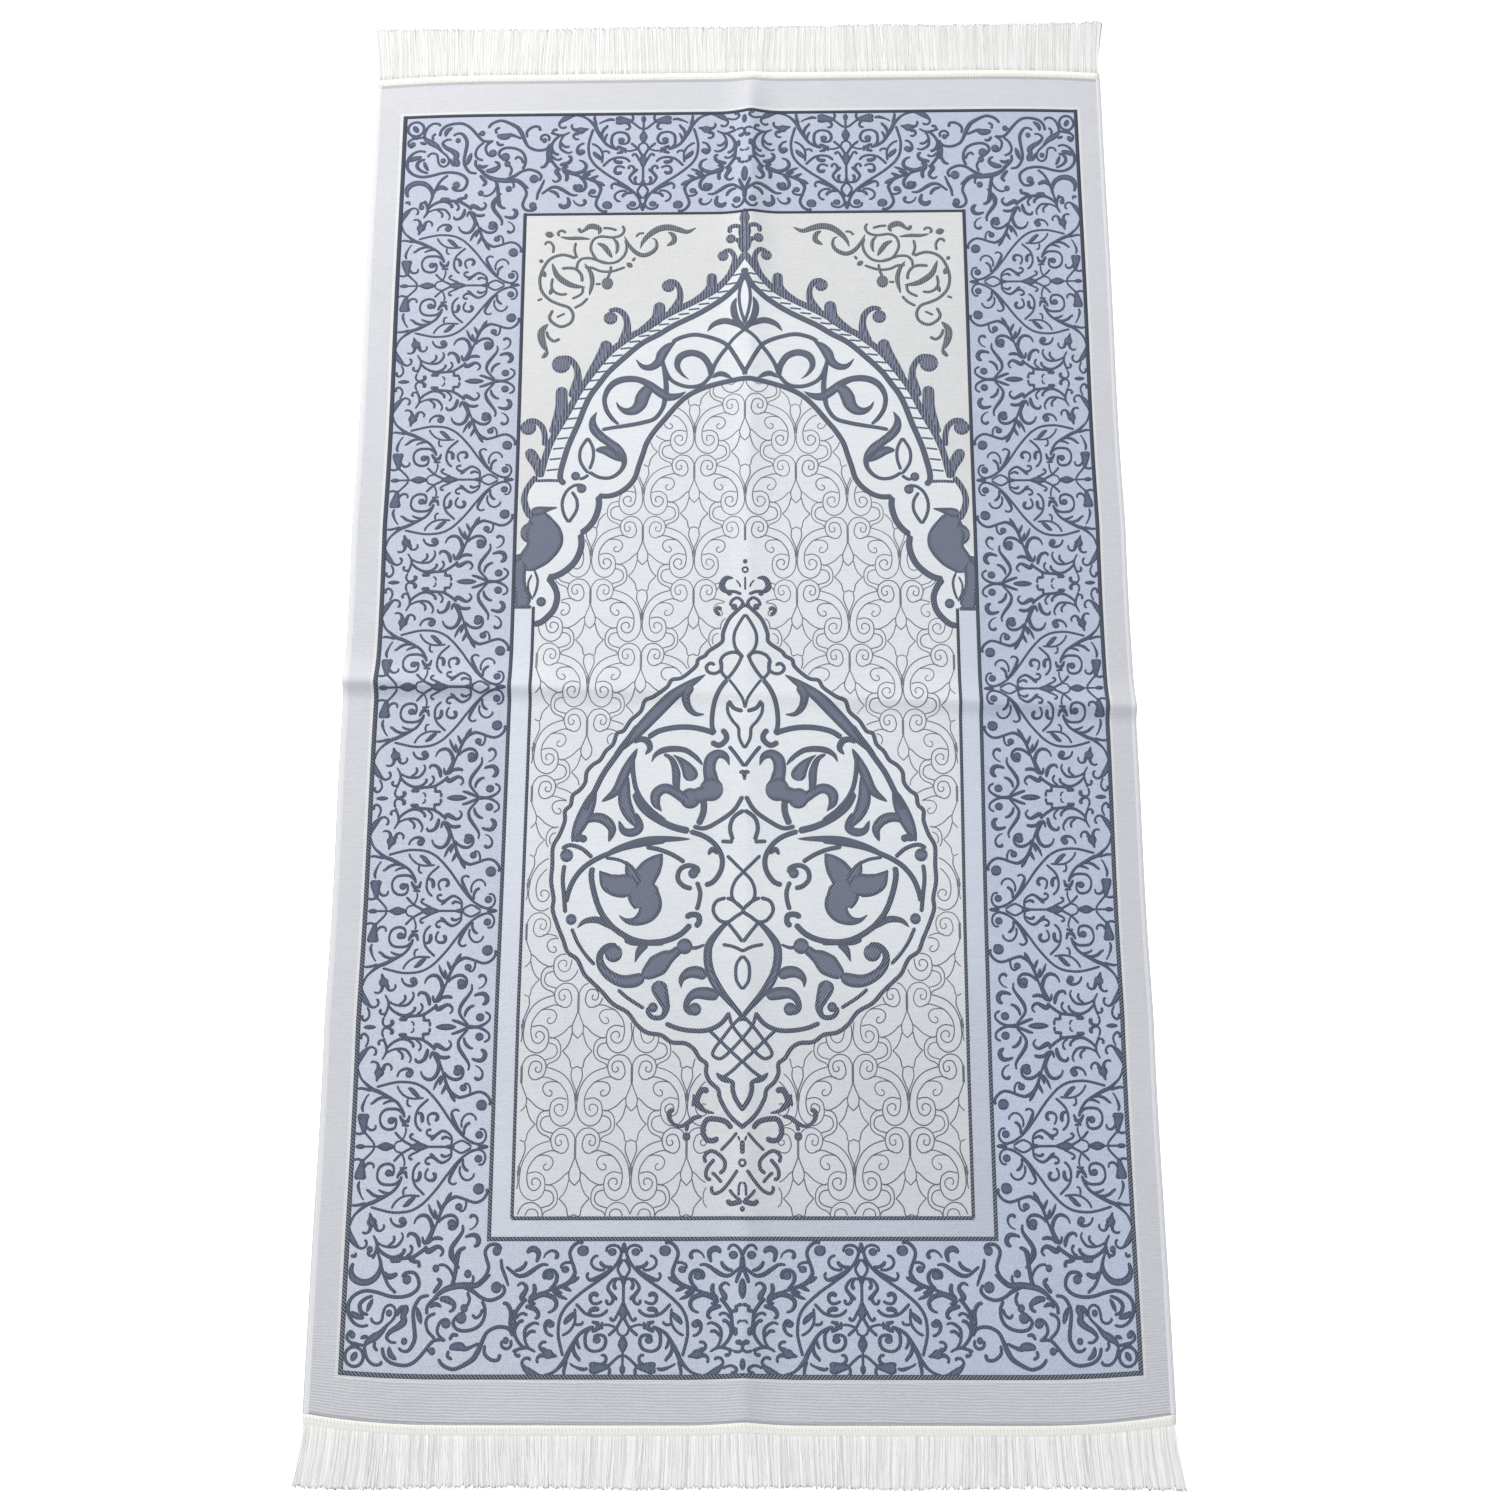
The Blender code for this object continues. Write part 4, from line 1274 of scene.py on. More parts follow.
@dataclass
class ClothSheet:
    """The woven cloth itself: a closed thin sheet with finer steps, in mm, along its two folds."""

    lie: ClothLie
    coarse: float = 9.0
    fine: float = 2.2
    fold_half_band: float = 42.0
    folds_at: Point = (2.0, -5.0)

    def steps(self, half: float, middle: float) -> np.ndarray:
        """Places from -half to half, close together within the fold's band and wider outside it.

        Args:
            half: half the span, in millimetres.
            middle: where the fold's band is centred.

        Returns:
            Places in millimetres.
        """
        low, high = middle - self.fold_half_band, middle + self.fold_half_band
        spans = ((-half, low, self.coarse), (low, high, self.fine), (high, half, self.coarse))
        runs = [np.linspace(a, b, int(math.ceil((b - a) / step)), endpoint=False) for a, b, step in spans]
        return np.concatenate([*runs, [half]])

    def build(self) -> bpy.types.Object:
        """Upper face from the lie's surface, lower face one thickness below, walls round the rim."""
        u = self.steps(self.lie.half_width / MM, self.folds_at[0])
        v = self.steps(self.lie.half_length / MM, self.folds_at[1])
        grid = np.meshgrid(u, v)
        upper = self.lie.surface(*grid)
        lower = upper - np.array([0, 0, self.lie.thickness])
        count = len(upper)
        top = grid_faces(len(v), len(u))
        index = np.arange(count).reshape(len(v), len(u))
        rim = np.concatenate([index[0, :-1], index[:-1, -1], index[-1, :0:-1], index[:0:-1, 0]])
        after = np.roll(rim, -1)
        wall = rows_of(rim, rim + count, after + count, after)
        faces = np.vstack([top, top[:, ::-1] + count, wall])
        pattern = rows_of(*grid) * MM
        piece = mesh_piece("cloth_sheet", np.vstack([upper, lower]), faces, np.vstack([pattern, pattern]))
        ends = np.zeros(len(piece.data.edges) * 2, dtype=np.int32)
        piece.data.edges.foreach_get("vertices", ends)
        sharp = np.isin(ends.reshape(-1, 2), np.concatenate([rim, rim + count])).all(axis=1)
        piece.data.attributes.new("sharp_edge", "BOOLEAN", "EDGE").data.foreach_set("value", sharp)
        return piece


@dataclass
class EdgeStitching:
    """Overlocked side edges, in mm: short threads laid over each side edge, one after another."""

    lie: ClothLie
    spacing: float = 2.3
    inward: float = 5.2
    thread: float = 2.3
    rise: float = 0.16
    from_ends: float = 1.5

    def build(self) -> bpy.types.Object:
        """Each stitch is a small strip of three by five vertices bent over the edge.

        Its middle line runs from the upper face, inward from the edge, over the rim to the lower
        face: places across the stitch are the stitch's middle plus or minus half a thread, leaned
        by a third of the spacing, and the strip's middle stands higher than its sides.

        Returns:
            The stitches of both sides as one piece.
        """
        thick = self.lie.thickness / MM
        reach = self.lie.half_length / MM - self.from_ends
        centres = np.arange(-reach, reach, self.spacing)
        inset = np.array([self.inward, self.inward * 0.55, 0.9, -0.15, 0.35])[None, :, None]
        above = np.array([-0.1, self.rise * 0.7, self.rise * 0.8, -thick / 2, -thick + 0.15])[None, :, None]
        beside = np.array([-1.0, 0.0, 1.0])
        lean = self.spacing * 0.35 * (inset / self.inward)
        lifted = above + self.rise * 0.6 * (beside == 0) * (inset > 0.5)
        v = centres[:, None, None] + lean + self.thread / 2 * beside
        quads = repeated(grid_faces(5, 3), len(centres), 15)
        sides = [side * (self.lie.half_width / MM - inset) for side in (-1.0, 1.0)]
        vertices = np.vstack([self.lie.surface(u, v, lifted) for u in sides])
        pattern = np.vstack([rows_of(u, v) * MM for u in sides])
        faces = np.vstack([quads, quads[:, ::-1] + v.size])
        return mesh_piece("edge_stitching", vertices, faces, pattern)


class End(Enum):
    """The cloth's two fringed ends: the value is the way the fringe points along y."""

    NEAR = -1
    FAR = 1


@dataclass
class FringedEnd:
    """One end's sewn tape and its fringe of fine loose threads, in metres."""

    lie: ClothLie
    end: End
    tape_depth: float = 0.0070
    tape_thickness: float = 0.0014
    gap: float = 0.0003
    stitch_spacing: float = 0.0027
    ridges: int = 1300
    bed_thickness: float = 0.00025
    bed_short: float = 0.0012
    locks: int = 130
    in_lock: int = 6
    thread_radius: float = 0.00036
    sections: int = 8
    corner_splay: float = 0.0065
    side_inset: float = 0.0012
    sway: float = 0.0022
    scatter: float = 0.0009
    uneven: float = 0.0020

    @property
    def label(self) -> str:
        """The end's name in piece names."""
        return self.end.name.lower()

    @property
    def fringe_length(self) -> float:
        """How far the fringe reaches past the cloth, in metres."""
        return self.lie.fringe_near if self.end is End.NEAR else self.lie.fringe_far

    def edge(self, x: np.ndarray) -> np.ndarray:
        """The cloth's end edge at places across."""
        return self.lie.near_edge(x) if self.end is End.NEAR else self.lie.far_edge(x)

    def outward(self, faces: np.ndarray) -> np.ndarray:
        """Faces worked out for the near end, turned over at the far one so that they look outward."""
        return faces if self.end is End.NEAR else faces[:, ::-1]

    def tape(self) -> bpy.types.Object:
        """The sewn tape: a rounded flat profile carried along the cloth's end.

        The profile is a closed loop of eight places round a rectangle with pulled-in corners, with
        its depth outward from the edge and its thickness upward from the folds.

        Returns:
            The tape, closed at both ends.
        """
        half = self.lie.half_width - 0.0004
        x = np.linspace(-half, half, 150)[:, None]
        out = np.array([-0.12, -0.12, 0.1, 0.5, 0.9, 1.0, 1.0, 0.0]) * self.tape_depth
        up = np.array([0.1, 1.1, 1.42, 1.2, 0.95, 0.55, 0.0, 0.0]) * self.tape_thickness
        y = self.edge(x) + self.end.value * (self.gap + out)
        vertices = rows_of(x, y, self.lie.lift(x, self.edge(x)) + up)
        faces = self.outward(capped_faces(len(x)))
        return mesh_piece(f"end_tape_{self.label}", vertices, faces, vertices[:, :2])

    def seam(self) -> bpy.types.Object:
        """The row of small slanting stitches that holds the tape, each a strip of twelve vertices."""
        half = self.lie.half_width - 0.003
        middle = np.arange(-half, half, self.stitch_spacing)
        along = np.linspace(-1, 1, 4)[:, None]
        x = middle[:, None, None] + 0.0007 * along + 0.0004 * np.array([-1.0, 0.0, 1.0])
        y = self.edge(x) + self.end.value * (0.0019 + 0.0021 * along)
        height = np.array([0.0, 0.55, 0.55, 0.0])[:, None] + np.array([0.0, 0.25, 0.0])
        z = self.lie.lift(x, self.edge(x)) + self.tape_thickness * 1.3 + height * MM
        vertices = rows_of(x, y, z)
        faces = self.outward(repeated(grid_faces(4, 3), len(middle), 12)[:, ::-1])
        return mesh_piece(f"end_seam_{self.label}", vertices, faces, vertices[:, :2])

    def strands(self, root: np.ndarray, share: np.ndarray, aside: np.ndarray, short: np.ndarray,
                rest: np.ndarray) -> tuple[np.ndarray, np.ndarray, np.ndarray]:
        """Where loose yarn lies that starts at places across the cloth's end.

        Sideways it leans with the splay of the corners and a slow sway, growing with the share of
        its length to the power 1.6. Its height falls from the tape to its rest over the first part.

        Args:
            root: x of each strand's start.
            share: places along a strand, from 0 to 1, as one row.
            aside: how far each tip lies aside, in metres.
            short: how far each tip stays behind the slow wave of the fringe's length, in metres.
            rest: height above the floor, a row or one value for each strand.

        Returns:
            x, y and z, with a row for each strand.
        """
        across = root / self.lie.half_width
        lean = self.corner_splay * across**9 + self.sway * np.sin(9.4 * across + 0.6) * (1 - across**10)
        x = root[:, None] + (lean + aside)[:, None] * share**1.6
        edge = self.edge(root)
        short = short + 0.0016 * np.abs(np.sin(5.1 * across + 1.2))
        start = edge + self.end.value * (self.tape_depth * 0.72 + self.gap)
        tip = self.lie.centre_y + self.end.value * (self.lie.half_length + self.fringe_length)
        y = start[:, None] + (tip - self.end.value * short - start)[:, None] * share
        high = (self.lie.lift(root, edge) + self.tape_thickness * 0.8)[:, None]
        return x, y, rest + (high - rest) * np.clip(1 - share / 0.45, 0, 1) ** 1.5

    def bed(self) -> bpy.types.Object:
        """The close layer of yarn under the loose threads, a closed sheet in fine ridges.

        Its columns stand high and low in turn, each a little otherwise, and end unevenly. Its
        underside lies one thickness of the bed below its upper face.
        """
        rng = np.random.default_rng(5 + self.end.value)
        count = self.ridges
        root = np.linspace(-1, 1, count) * (self.lie.half_width - self.side_inset)
        share = np.array([[0.0, 0.15, 0.4, 0.94, 1.0, 0.9, 0.4, 0.0]])
        below = np.array([0.0, 0.0, 0.0, 0.0, 0.6, 1.0, 1.0, 1.0]) * self.bed_thickness
        ridge = np.arange(count) % 2 * 0.00003 + rng.uniform(0.00040, 0.00043, count)
        short = self.bed_short + np.abs(rng.normal(0, 0.0016, count))
        x, y, z = self.strands(root, share, rng.normal(0, 0.00015, count), short, ridge[:, None])
        pattern = rows_of(rng.uniform(0, 1, count)[:, None], share)
        faces = self.outward(capped_faces(count))
        return mesh_piece(f"fringe_bed_{self.label}", rows_of(x, y, z - below), faces, pattern)

    def fringe(self) -> bpy.types.Object:
        """The loose threads, each a three-sided tube along its own path, all worked out at once.

        The threads of a lock lean one way and draw together a little towards their tips, and each
        has its own scatter, a slow wave and its own length.

        Returns:
            All threads as one piece.
        """
        rng = np.random.default_rng(11 + self.end.value)
        threads = self.locks * self.in_lock
        lock = np.repeat(np.arange(self.locks), self.in_lock)
        within = rng.uniform(-0.5, 0.5, threads)
        root = ((lock + 0.5 + within) / self.locks * 2 - 1) * (self.lie.half_width - self.side_inset)
        share = np.linspace(0, 1, self.sections)[None, :]
        pull = rng.normal(0, 1, self.locks)[lock] * self.scatter
        gather = -within / self.locks * self.lie.width * rng.uniform(0.0, 0.4, self.locks)[lock]
        loose = 1 - (root / self.lie.half_width) ** 10
        aside = (pull + rng.normal(0, 0.0013, threads)) * loose + gather
        short = np.abs(rng.normal(0, self.uneven, threads))
        rest = rng.uniform(0.00042, 0.00062, (threads, 1)) * (1 - 0.1 * share)
        x, y, z = self.strands(root, share, aside, short, rest)
        wave = np.sin(share * rng.uniform(3, 9, (threads, 1)) + rng.uniform(0, 6.3, (threads, 1)))
        x = x + 0.0004 * wave * share
        turn = np.array([0.25, 0.583, 0.917]) * TURN
        radius = self.thread_radius * (1 - 0.25 * share)[..., None]
        above_floor = np.maximum(z[..., None] + radius * np.sin(turn) * 0.5, 0.0001)
        vertices = rows_of(x[..., None] + radius * np.cos(turn), y[..., None], above_floor)
        tube = self.outward(grid_faces(self.sections, 3, closed=True))
        tint = np.repeat(rng.uniform(0, 1, threads), self.sections * 3)
        pattern = rows_of(tint, np.tile(np.repeat(share, 3), threads))
        faces = repeated(tube, threads, self.sections * 3)
        return mesh_piece(f"fringe_threads_{self.label}", vertices, faces, pattern)


# -------- Materials


class Number:
    """A shader socket that carries a number. Python's operators on it add Math nodes."""

    def __init__(self, finish: Finish, socket: bpy.types.NodeSocket) -> None:
        """Keep the material that the socket belongs to, and the socket."""
        self.finish = finish
        self.socket = socket

    def math(self, operation: str, *others: Number | float, swap: bool = False) -> Number:
        """This number and others through one Math node; swap puts this one second."""
        values = [others[0], self] if swap else [self, *others]
        node = self.finish.add("ShaderNodeMath", {"operation": operation}, dict(enumerate(values)))
        return Number(self.finish, node.outputs[0])

    def __add__(self, other: Number | float) -> Number:
        """Sum."""
        return self.math("ADD", other)

    def __sub__(self, other: Number | float) -> Number:
        """Difference."""
        return self.math("SUBTRACT", other)

    def __rsub__(self, other: float) -> Number:
        """Difference with this number taken away."""
        return self.math("SUBTRACT", other, swap=True)

    def __mul__(self, other: Number | float) -> Number:
        """Product."""
        return self.math("MULTIPLY", other)

    def __truediv__(self, other: Number | float) -> Number:
        """Quotient."""
        return self.math("DIVIDE", other)

    def __gt__(self, other: Number | float) -> Number:
        """1 where this number is the greater, else 0."""
        return self.math("GREATER_THAN", other)

    def __lt__(self, other: Number | float) -> Number:
        """1 where this number is the smaller, else 0."""
        return self.math("LESS_THAN", other)

    def __abs__(self) -> Number:
        """The number without its sign."""
        return self.math("ABSOLUTE")

    def sine(self) -> Number:
        """Sine of the number in radians."""
        return self.math("SINE")

    def wave(self, pitch: float) -> Number:
        """A wave from 0 to 1 that comes back at every pitch."""
        return (self * (TURN / pitch)).sine() * 0.5 + 0.5

    def most(self, other: Number | float) -> Number:
        """The greater of two."""
        return self.math("MAXIMUM", other)

    def step(self, low: float, high: float) -> Number:
        """A smooth step: 0 at low, 1 at high."""
        spans = {"Value": self, "From Min": low, "From Max": high, "To Min": 0.0, "To Max": 1.0}
        node = self.finish.add("ShaderNodeMapRange", {"interpolation_type": "SMOOTHSTEP"}, spans)
        return Number(self.finish, node.outputs["Result"])

    def fall(self, start: float, over: float) -> Number:
        """A smooth fall from 1 to 0 that begins at start and goes on over a distance."""
        return 1 - ((self - start) / over).step(0.0, 1.0)

    def curve(self, points: Sequence[Point]) -> Number:
        """The number carried through straight spans between points, both from 0 to 1."""
        node = self.finish.add("ShaderNodeFloatCurve", {"points": points}, {"Value": self})
        return Number(self.finish, node.outputs[0])


class Finish:
    """One material's nodes, from its coordinates to its shader."""

    def __init__(self, name: str) -> None:
        """An empty material with a Principled shader wired to its output."""
        self.material = bpy.data.materials.new(name)
        self.material.use_nodes = True
        self.material.node_tree.nodes.clear()
        self.shader = self.add("ShaderNodeBsdfPrincipled")
        self.add("ShaderNodeOutputMaterial", None, {"Surface": self.shader.outputs[0]})

    def add(self, kind: str, settings: dict | None = None, inputs: dict | None = None) -> bpy.types.Node:
        """Any node: its settings first, then the values or links of its sockets.

        Args:
            kind: the node's type.
            settings: properties by name; points sets a curve's points.
            inputs: numbers, colours or sockets by socket name or place.

        Returns:
            The node.
        """
        node = self.material.node_tree.nodes.new(kind)
        for name, value in (settings or {}).items():
            if name != "points":
                setattr(node, name, value)
                continue
            curve = node.mapping.curves[0]
            while len(curve.points) < len(value):
                curve.points.new(0.5, 0.5)
            for point, place in zip(curve.points, value):
                point.location = place
                point.handle_type = "VECTOR"
            node.mapping.update()
        self.wire(node, inputs or {})
        return node

    def wire(self, node: bpy.types.Node, inputs: dict) -> None:
        """Link a node's inputs to sockets, or set them to numbers and colours, by name or place."""
        for name, value in inputs.items():
            source = value.socket if isinstance(value, Number) else value
            if isinstance(source, bpy.types.NodeSocket):
                self.material.node_tree.links.new(source, node.inputs[name])
            else:
                node.inputs[name].default_value = source

    def pattern(self) -> tuple[Number, Number]:
        """The pattern's u and v in millimetres, from the piece's UV map."""
        place = self.add("ShaderNodeUVMap", {"uv_map": "pattern"})
        split = self.add("ShaderNodeSeparateXYZ", None, {0: place.outputs[0]})
        return Number(self, split.outputs[0]) * 1000, Number(self, split.outputs[1]) * 1000

    def attribute(self, name: str) -> Number:
        """A number kept on the piece's vertices."""
        node = self.add("ShaderNodeAttribute", {"attribute_name": name})
        return Number(self, node.outputs["Fac"])

    def noise(self, size: float, detail: float = 2.0, stretch: Triple = (1, 1, 1)) -> Number:
        """Noise from 0 to 1 on Object coordinates, with blotches about size metres across."""
        place = self.add("ShaderNodeTexCoord")
        scaled = self.add("ShaderNodeMapping", None, {"Vector": place.outputs["Object"], "Scale": stretch})
        grain = {"Vector": scaled.outputs[0], "Scale": 1 / size, "Detail": detail}
        node = self.add("ShaderNodeTexNoise", None, grain)
        return Number(self, node.outputs[0])

    def blend(self, share: Number | float, first: Colour | bpy.types.NodeSocket,
              second: Colour | bpy.types.NodeSocket, how: str = "MIX") -> bpy.types.NodeSocket:
        """Two colours mixed by a share: the first at 0, the second at 1."""
        settings = {"data_type": "RGBA", "blend_type": how}
        node = self.add("ShaderNodeMix", settings, {0: share, 6: first, 7: second})
        return node.outputs[2]

    def shaded(self, colour: bpy.types.NodeSocket, shade: Number) -> bpy.types.NodeSocket:
        """The colour made lighter or darker by a share that swings about 0."""
        grey = self.add("ShaderNodeCombineColor", None, {0: shade + 1, 1: shade + 1, 2: shade + 1})
        return self.blend(1.0, colour, grey.outputs[0], "MULTIPLY")

    def rightward(self, u: Number) -> Number:
        """A smooth rise from the pattern's left line to its right line, 617 mm apart."""
        return (u / 617 + 0.5).step(0.0, 1.0)

    def painted_falloff_shade(self, u: Number, v: Number) -> Number:
        """Painted shade for the light's fall-off: how much darker the field's near part is painted, more
        towards the near end and the right.
        """
        return v.fall(-330, 190) * (self.rightward(u) * 0.06 + 0.075)

    def dress(self, colour: bpy.types.NodeSocket | Colour, roughness: float, height: Number | None = None,
              depth: float = 0.0, sheen: float = 0.0) -> bpy.types.Material:
        """Wire colour, roughness and a bump to the shader.

        Args:
            colour: base colour.
            roughness: roughness from 0 to 1.
            height: bump height from 0 to 1, or None.
            depth: how many metres that height stands for.
            sheen: weight of the soft sheen of thread.

        Returns:
            The finished material.
        """
        self.wire(self.shader, {"Base Color": colour, "Roughness": roughness, "Sheen Weight": sheen,
                                "Sheen Roughness": 0.5, "Specular IOR Level": 0.18})
        if height is not None:
            bump = self.add("ShaderNodeBump", None, {"Height": height, "Distance": depth, "Strength": 1.0})
            self.wire(self.shader, {"Normal": bump.outputs[0]})
        return self.material


@dataclass(frozen=True)
class Light:
    """How bright white cloth comes out: colours are measured on screen and divided by this."""

    level: float = 1.155

    def linear(self, value: int) -> float:
        """A screen value from 0 to 255 as the linear one that a shader takes."""
        share = value / 255
        return share / 12.92 if share <= 0.04045 else ((share + 0.055) / 1.055) ** 2.4

    def cloth(self, red: int, green: int, blue: int) -> Colour:
        """The cloth colour that shows as these screen values under the studio light."""
        bright = 1 / self.level
        return (self.linear(red) * bright, self.linear(green) * bright, self.linear(blue) * bright, 1.0)


@dataclass(frozen=True)
class JacquardGround:
    """The woven ground: each zone of the pattern in its own pale shade, ribbed at the margins.

    The zones' outlines are curves that carry v, from one reach below the middle to one above it,
    to half widths of up to the span.
    """

    light: Light
    lines: GuardLines
    arch: ArchFrame
    medallion: Medallion
    reach: float = 450.0
    span: float = 200.0
    rib_pitch: float = 2.25
    weave_pitch: float = 0.95
    # Where the painted shadow beside the end tapes begins, in mm from the middle.
    painted_tape_shadow_from: float = 577.2

    def half_width(self, along: Number, points: Iterable[Point], below: float) -> Number:
        """Half the width of what a left outline goes round, in millimetres.

        Args:
            along: places along v, from 0 at one reach below the middle to 1 at one above it.
            points: the outline's points, in threads.
            below: half width below its lowest point.

        Returns:
            The half widths, 0 above the highest point.
        """
        places = sorted(((y * THREAD + self.reach) / (2 * self.reach), -x * THREAD / self.span)
                        for x, y in points)
        last = below / self.span
        start = [(0.0, last), (places[0][0] - 0.001, last)]
        end = [(places[-1][0] + 0.001, 0.0), (1.0, 0.0)]
        return along.curve([*start, *places, *end]) * self.span

    def within(self, au: Number, av: Number, half: Point) -> Number:
        """1 where both distances from the middle lines are within a frame's half sizes, else 0."""
        return (au < half[0]) * (av < half[1])

    def material(self) -> bpy.types.Material:
        """Masks from the pattern map choose each zone's shade; rib, grain, weave and painted shade go on
        top.
        """
        f = Finish("jacquard_ground")
        paint = self.light.cloth
        u, v = f.pattern()
        au, av = abs(u), abs(v)
        along = (v + self.reach) / (2 * self.reach)
        lines, arch, oval = self.lines, self.arch, self.medallion
        inside_outer = self.within(au, av, lines.outer)
        inside_inner = self.within(au, av, lines.inner)
        crest = self.half_width(along, [*arch.band, *arch.pier_edge], lines.inner[0])
        opening = self.half_width(along, arch.opening_points, lines.guard_side)
        bulge = self.half_width(along, oval.outline_points, 0.0)
        in_arch = inside_inner * (au < crest) * (v < arch.band_top)
        in_field = inside_inner * (au < opening) * (v < arch.opening_top) * (v > lines.guard_bottom)
        in_medallion = (au < bulge) * (v < oval.top) * (v > oval.bottom)
        past_field = (au > lines.guard_side).most(v < lines.guard_bottom)
        in_guard = inside_inner * past_field * (v < lines.guard_top)
        past_line = (au > lines.outer[0] + 1.9).most(av > lines.outer[1] + 1.9)
        white_line = self.within(au, av, (lines.outer[0] + 4.2, lines.outer[1] + 4.2)) * past_line

        mottle = f.noise(0.09, 3.0)
        grain = f.noise(0.0013, 2.0, (1, 1.5, 1))
        streak = f.noise(0.011, 3.0, (0.55, 8.0, 1))
        wobble = f.noise(0.02, 2.0)
        rib = (v + (wobble - 0.5) * 2.0 + u * 0.012).wave(self.rib_pitch)
        side = f.rightward(u)
        # The border's shade changes over the 1100 mm between its end lines.
        farther = (v / 1100 + 0.5).step(0.0, 1.0)
        near = v.fall(-600, 130)

        ribs = (rib - 0.5) * (near * 0.85 + 0.07)
        colour = f.blend(ribs + 0.42, paint(209, 211, 219), paint(235, 236, 241))
        colour = f.blend(white_line * 0.75, colour, paint(238, 241, 243))
        # Painted shade: the border is painted darker and bluer towards the right, where the light falls off.
        border = f.blend(side, paint(214, 218, 234), paint(203, 213, 235))
        border = f.blend(farther * 0.75, border, paint(196, 203, 224))
        colour = f.blend(inside_outer, colour, border)
        colour = f.blend(inside_inner, colour, paint(229, 230, 232))
        colour = f.blend(in_arch, colour, paint(238, 242, 248))
        # Painted shade: the guard stripe too is painted darker and bluer towards the right, where the light
        # falls off.
        colour = f.blend(in_guard, colour, f.blend(side, paint(231, 235, 247), paint(218, 225, 240)))
        colour = f.blend(in_field, colour, paint(237, 240, 246))
        colour = f.blend(in_medallion, colour, paint(240, 244, 250))
        # Painted shadow: a dark band on the cloth along both ends, beside the tape's edge.
        colour = f.blend((av > self.painted_tape_shadow_from) * 0.45, colour, paint(150, 152, 160))
        in_border = inside_outer * (1 - inside_inner)
        shade = (mottle - 0.5) * 0.10 + (grain - 0.5) * (in_border * 0.3 + 0.36) + (streak - 0.5) * 0.16
        # Painted shade: the ground is painted darker towards the near end, and the field's near part darker
        # still towards the right, where the light falls off.
        shade = shade - v.fall(-600, 260) * 0.09 - inside_inner * f.painted_falloff_shade(u, v)

        turn = TURN / self.weave_pitch
        weft = (v * turn).sine() * (u * turn).sine() * 0.5 + 0.5
        height = rib * (1 - inside_outer) * (near * 0.6 + 0.06) + weft * 0.25 + grain * 0.4 + streak * 0.3
        return f.dress(f.shaded(colour, shade), 0.86, height, 0.0004, 0.12)


class Hatch(Enum):
    """Which way the fine stripes of a dark woven figure run: their shares of u and v."""

    UPRIGHT = (1.0, 0.0)
    SLANTED = (0.82, -0.57)


@dataclass(frozen=True)
class FigureThread:
    """Dark figure thread: striped near its edges, with plainer mid-toned cloth inside wide shapes.

    Pitch and rim are in millimetres; cover is where in a stripe's wave the pale thread begins, and
    within is how much of the stripes shows inside.
    """

    name: str
    light: Light
    dark: Screen
    pale: Screen
    middle: Screen
    hatch: Hatch
    pitch: float
    cover: float = 0.5
    rim: float = 2.6
    within: float = 0.45

    def material(self) -> bpy.types.Material:
        """Stripes from the pattern map; the edge distance tells the rim from the inside."""
        f = Finish(self.name)
        u, v = f.pattern()
        edge = f.attribute("edge")
        across, up = self.hatch.value
        wobble = f.noise(0.005) - 0.5
        wave = (abs(u) * across + v * up + wobble).wave(self.pitch)
        stripes = wave.step(self.cover, self.cover + 0.4)
        grain = f.noise(0.0012, 2.0)
        ragged = edge + (grain - 0.5) * 0.7
        body = ragged.step(0.15, 0.75)
        dark, pale, middle = (self.light.cloth(*shade) for shade in (self.dark, self.pale, self.middle))
        rim = f.blend(stripes * (body * 0.8 + 0.1), dark, pale)
        inside = f.blend(wave * self.within, middle, dark)
        colour = f.blend(ragged.step(self.rim, self.rim + 0.9) * 0.9, rim, inside)
        colour = f.shaded(colour, (grain - 0.5) * 0.5)
        return f.dress(colour, 0.8, wave * 0.5 + grain * 0.5, 0.0003, 0.1)


@dataclass(frozen=True)
class LineThread:
    """Thin thread of the lattice, broken into small dashes where it dips under the ground."""

    light: Light
    dark: Screen = (104, 108, 122)
    pale: Screen = (160, 164, 175)

    def material(self) -> bpy.types.Material:
        """Dashes from crossed sines of the pattern map, with grain and the field's painted fall-off shade.
        """
        f = Finish("lattice_thread")
        u, v = f.pattern()
        dash = (u * 4.4).sine() * (v * 3.7).sine() * 0.5 + 0.5
        share = dash.step(0.45, 0.95) * 0.7 + f.noise(0.002) * 0.2
        colour = f.blend(share, self.light.cloth(*self.dark), self.light.cloth(*self.pale))
        # Painted shade: the lattice thread is darkened over the field's near part, more to the right, where
        # the light falls off.
        return f.dress(f.shaded(colour, 0.0 - f.painted_falloff_shade(u, v) * 1.6), 0.85, dash, 0.0002, 0.1)


@dataclass(frozen=True)
class TwistedLine:
    """The guard lines: dark thread with slanting turns that mirror about the pattern's middle."""

    light: Light
    dark: Screen = (66, 73, 88)
    pale: Screen = (186, 192, 204)
    pitch: float = 2.7

    def material(self) -> bpy.types.Material:
        """Turns run along the line and lean up the sides, from one sine of u and v together."""
        f = Finish("twisted_line")
        u, v = f.pattern()
        turn = (abs(u) * 0.95 - v * 0.95).wave(self.pitch)
        inside = f.attribute("edge").step(0.2, 1.0)
        towards_near = 1 - (v / 1000 + 0.5).step(0.0, 0.9)
        share = turn.step(0.45, 0.95) * (inside * 0.4 + 0.2) * (towards_near * 0.85 + 0.15)
        colour = f.blend(share, self.light.cloth(*self.dark), self.light.cloth(*self.pale))
        return f.dress(colour, 0.8, turn, 0.0004, 0.1)


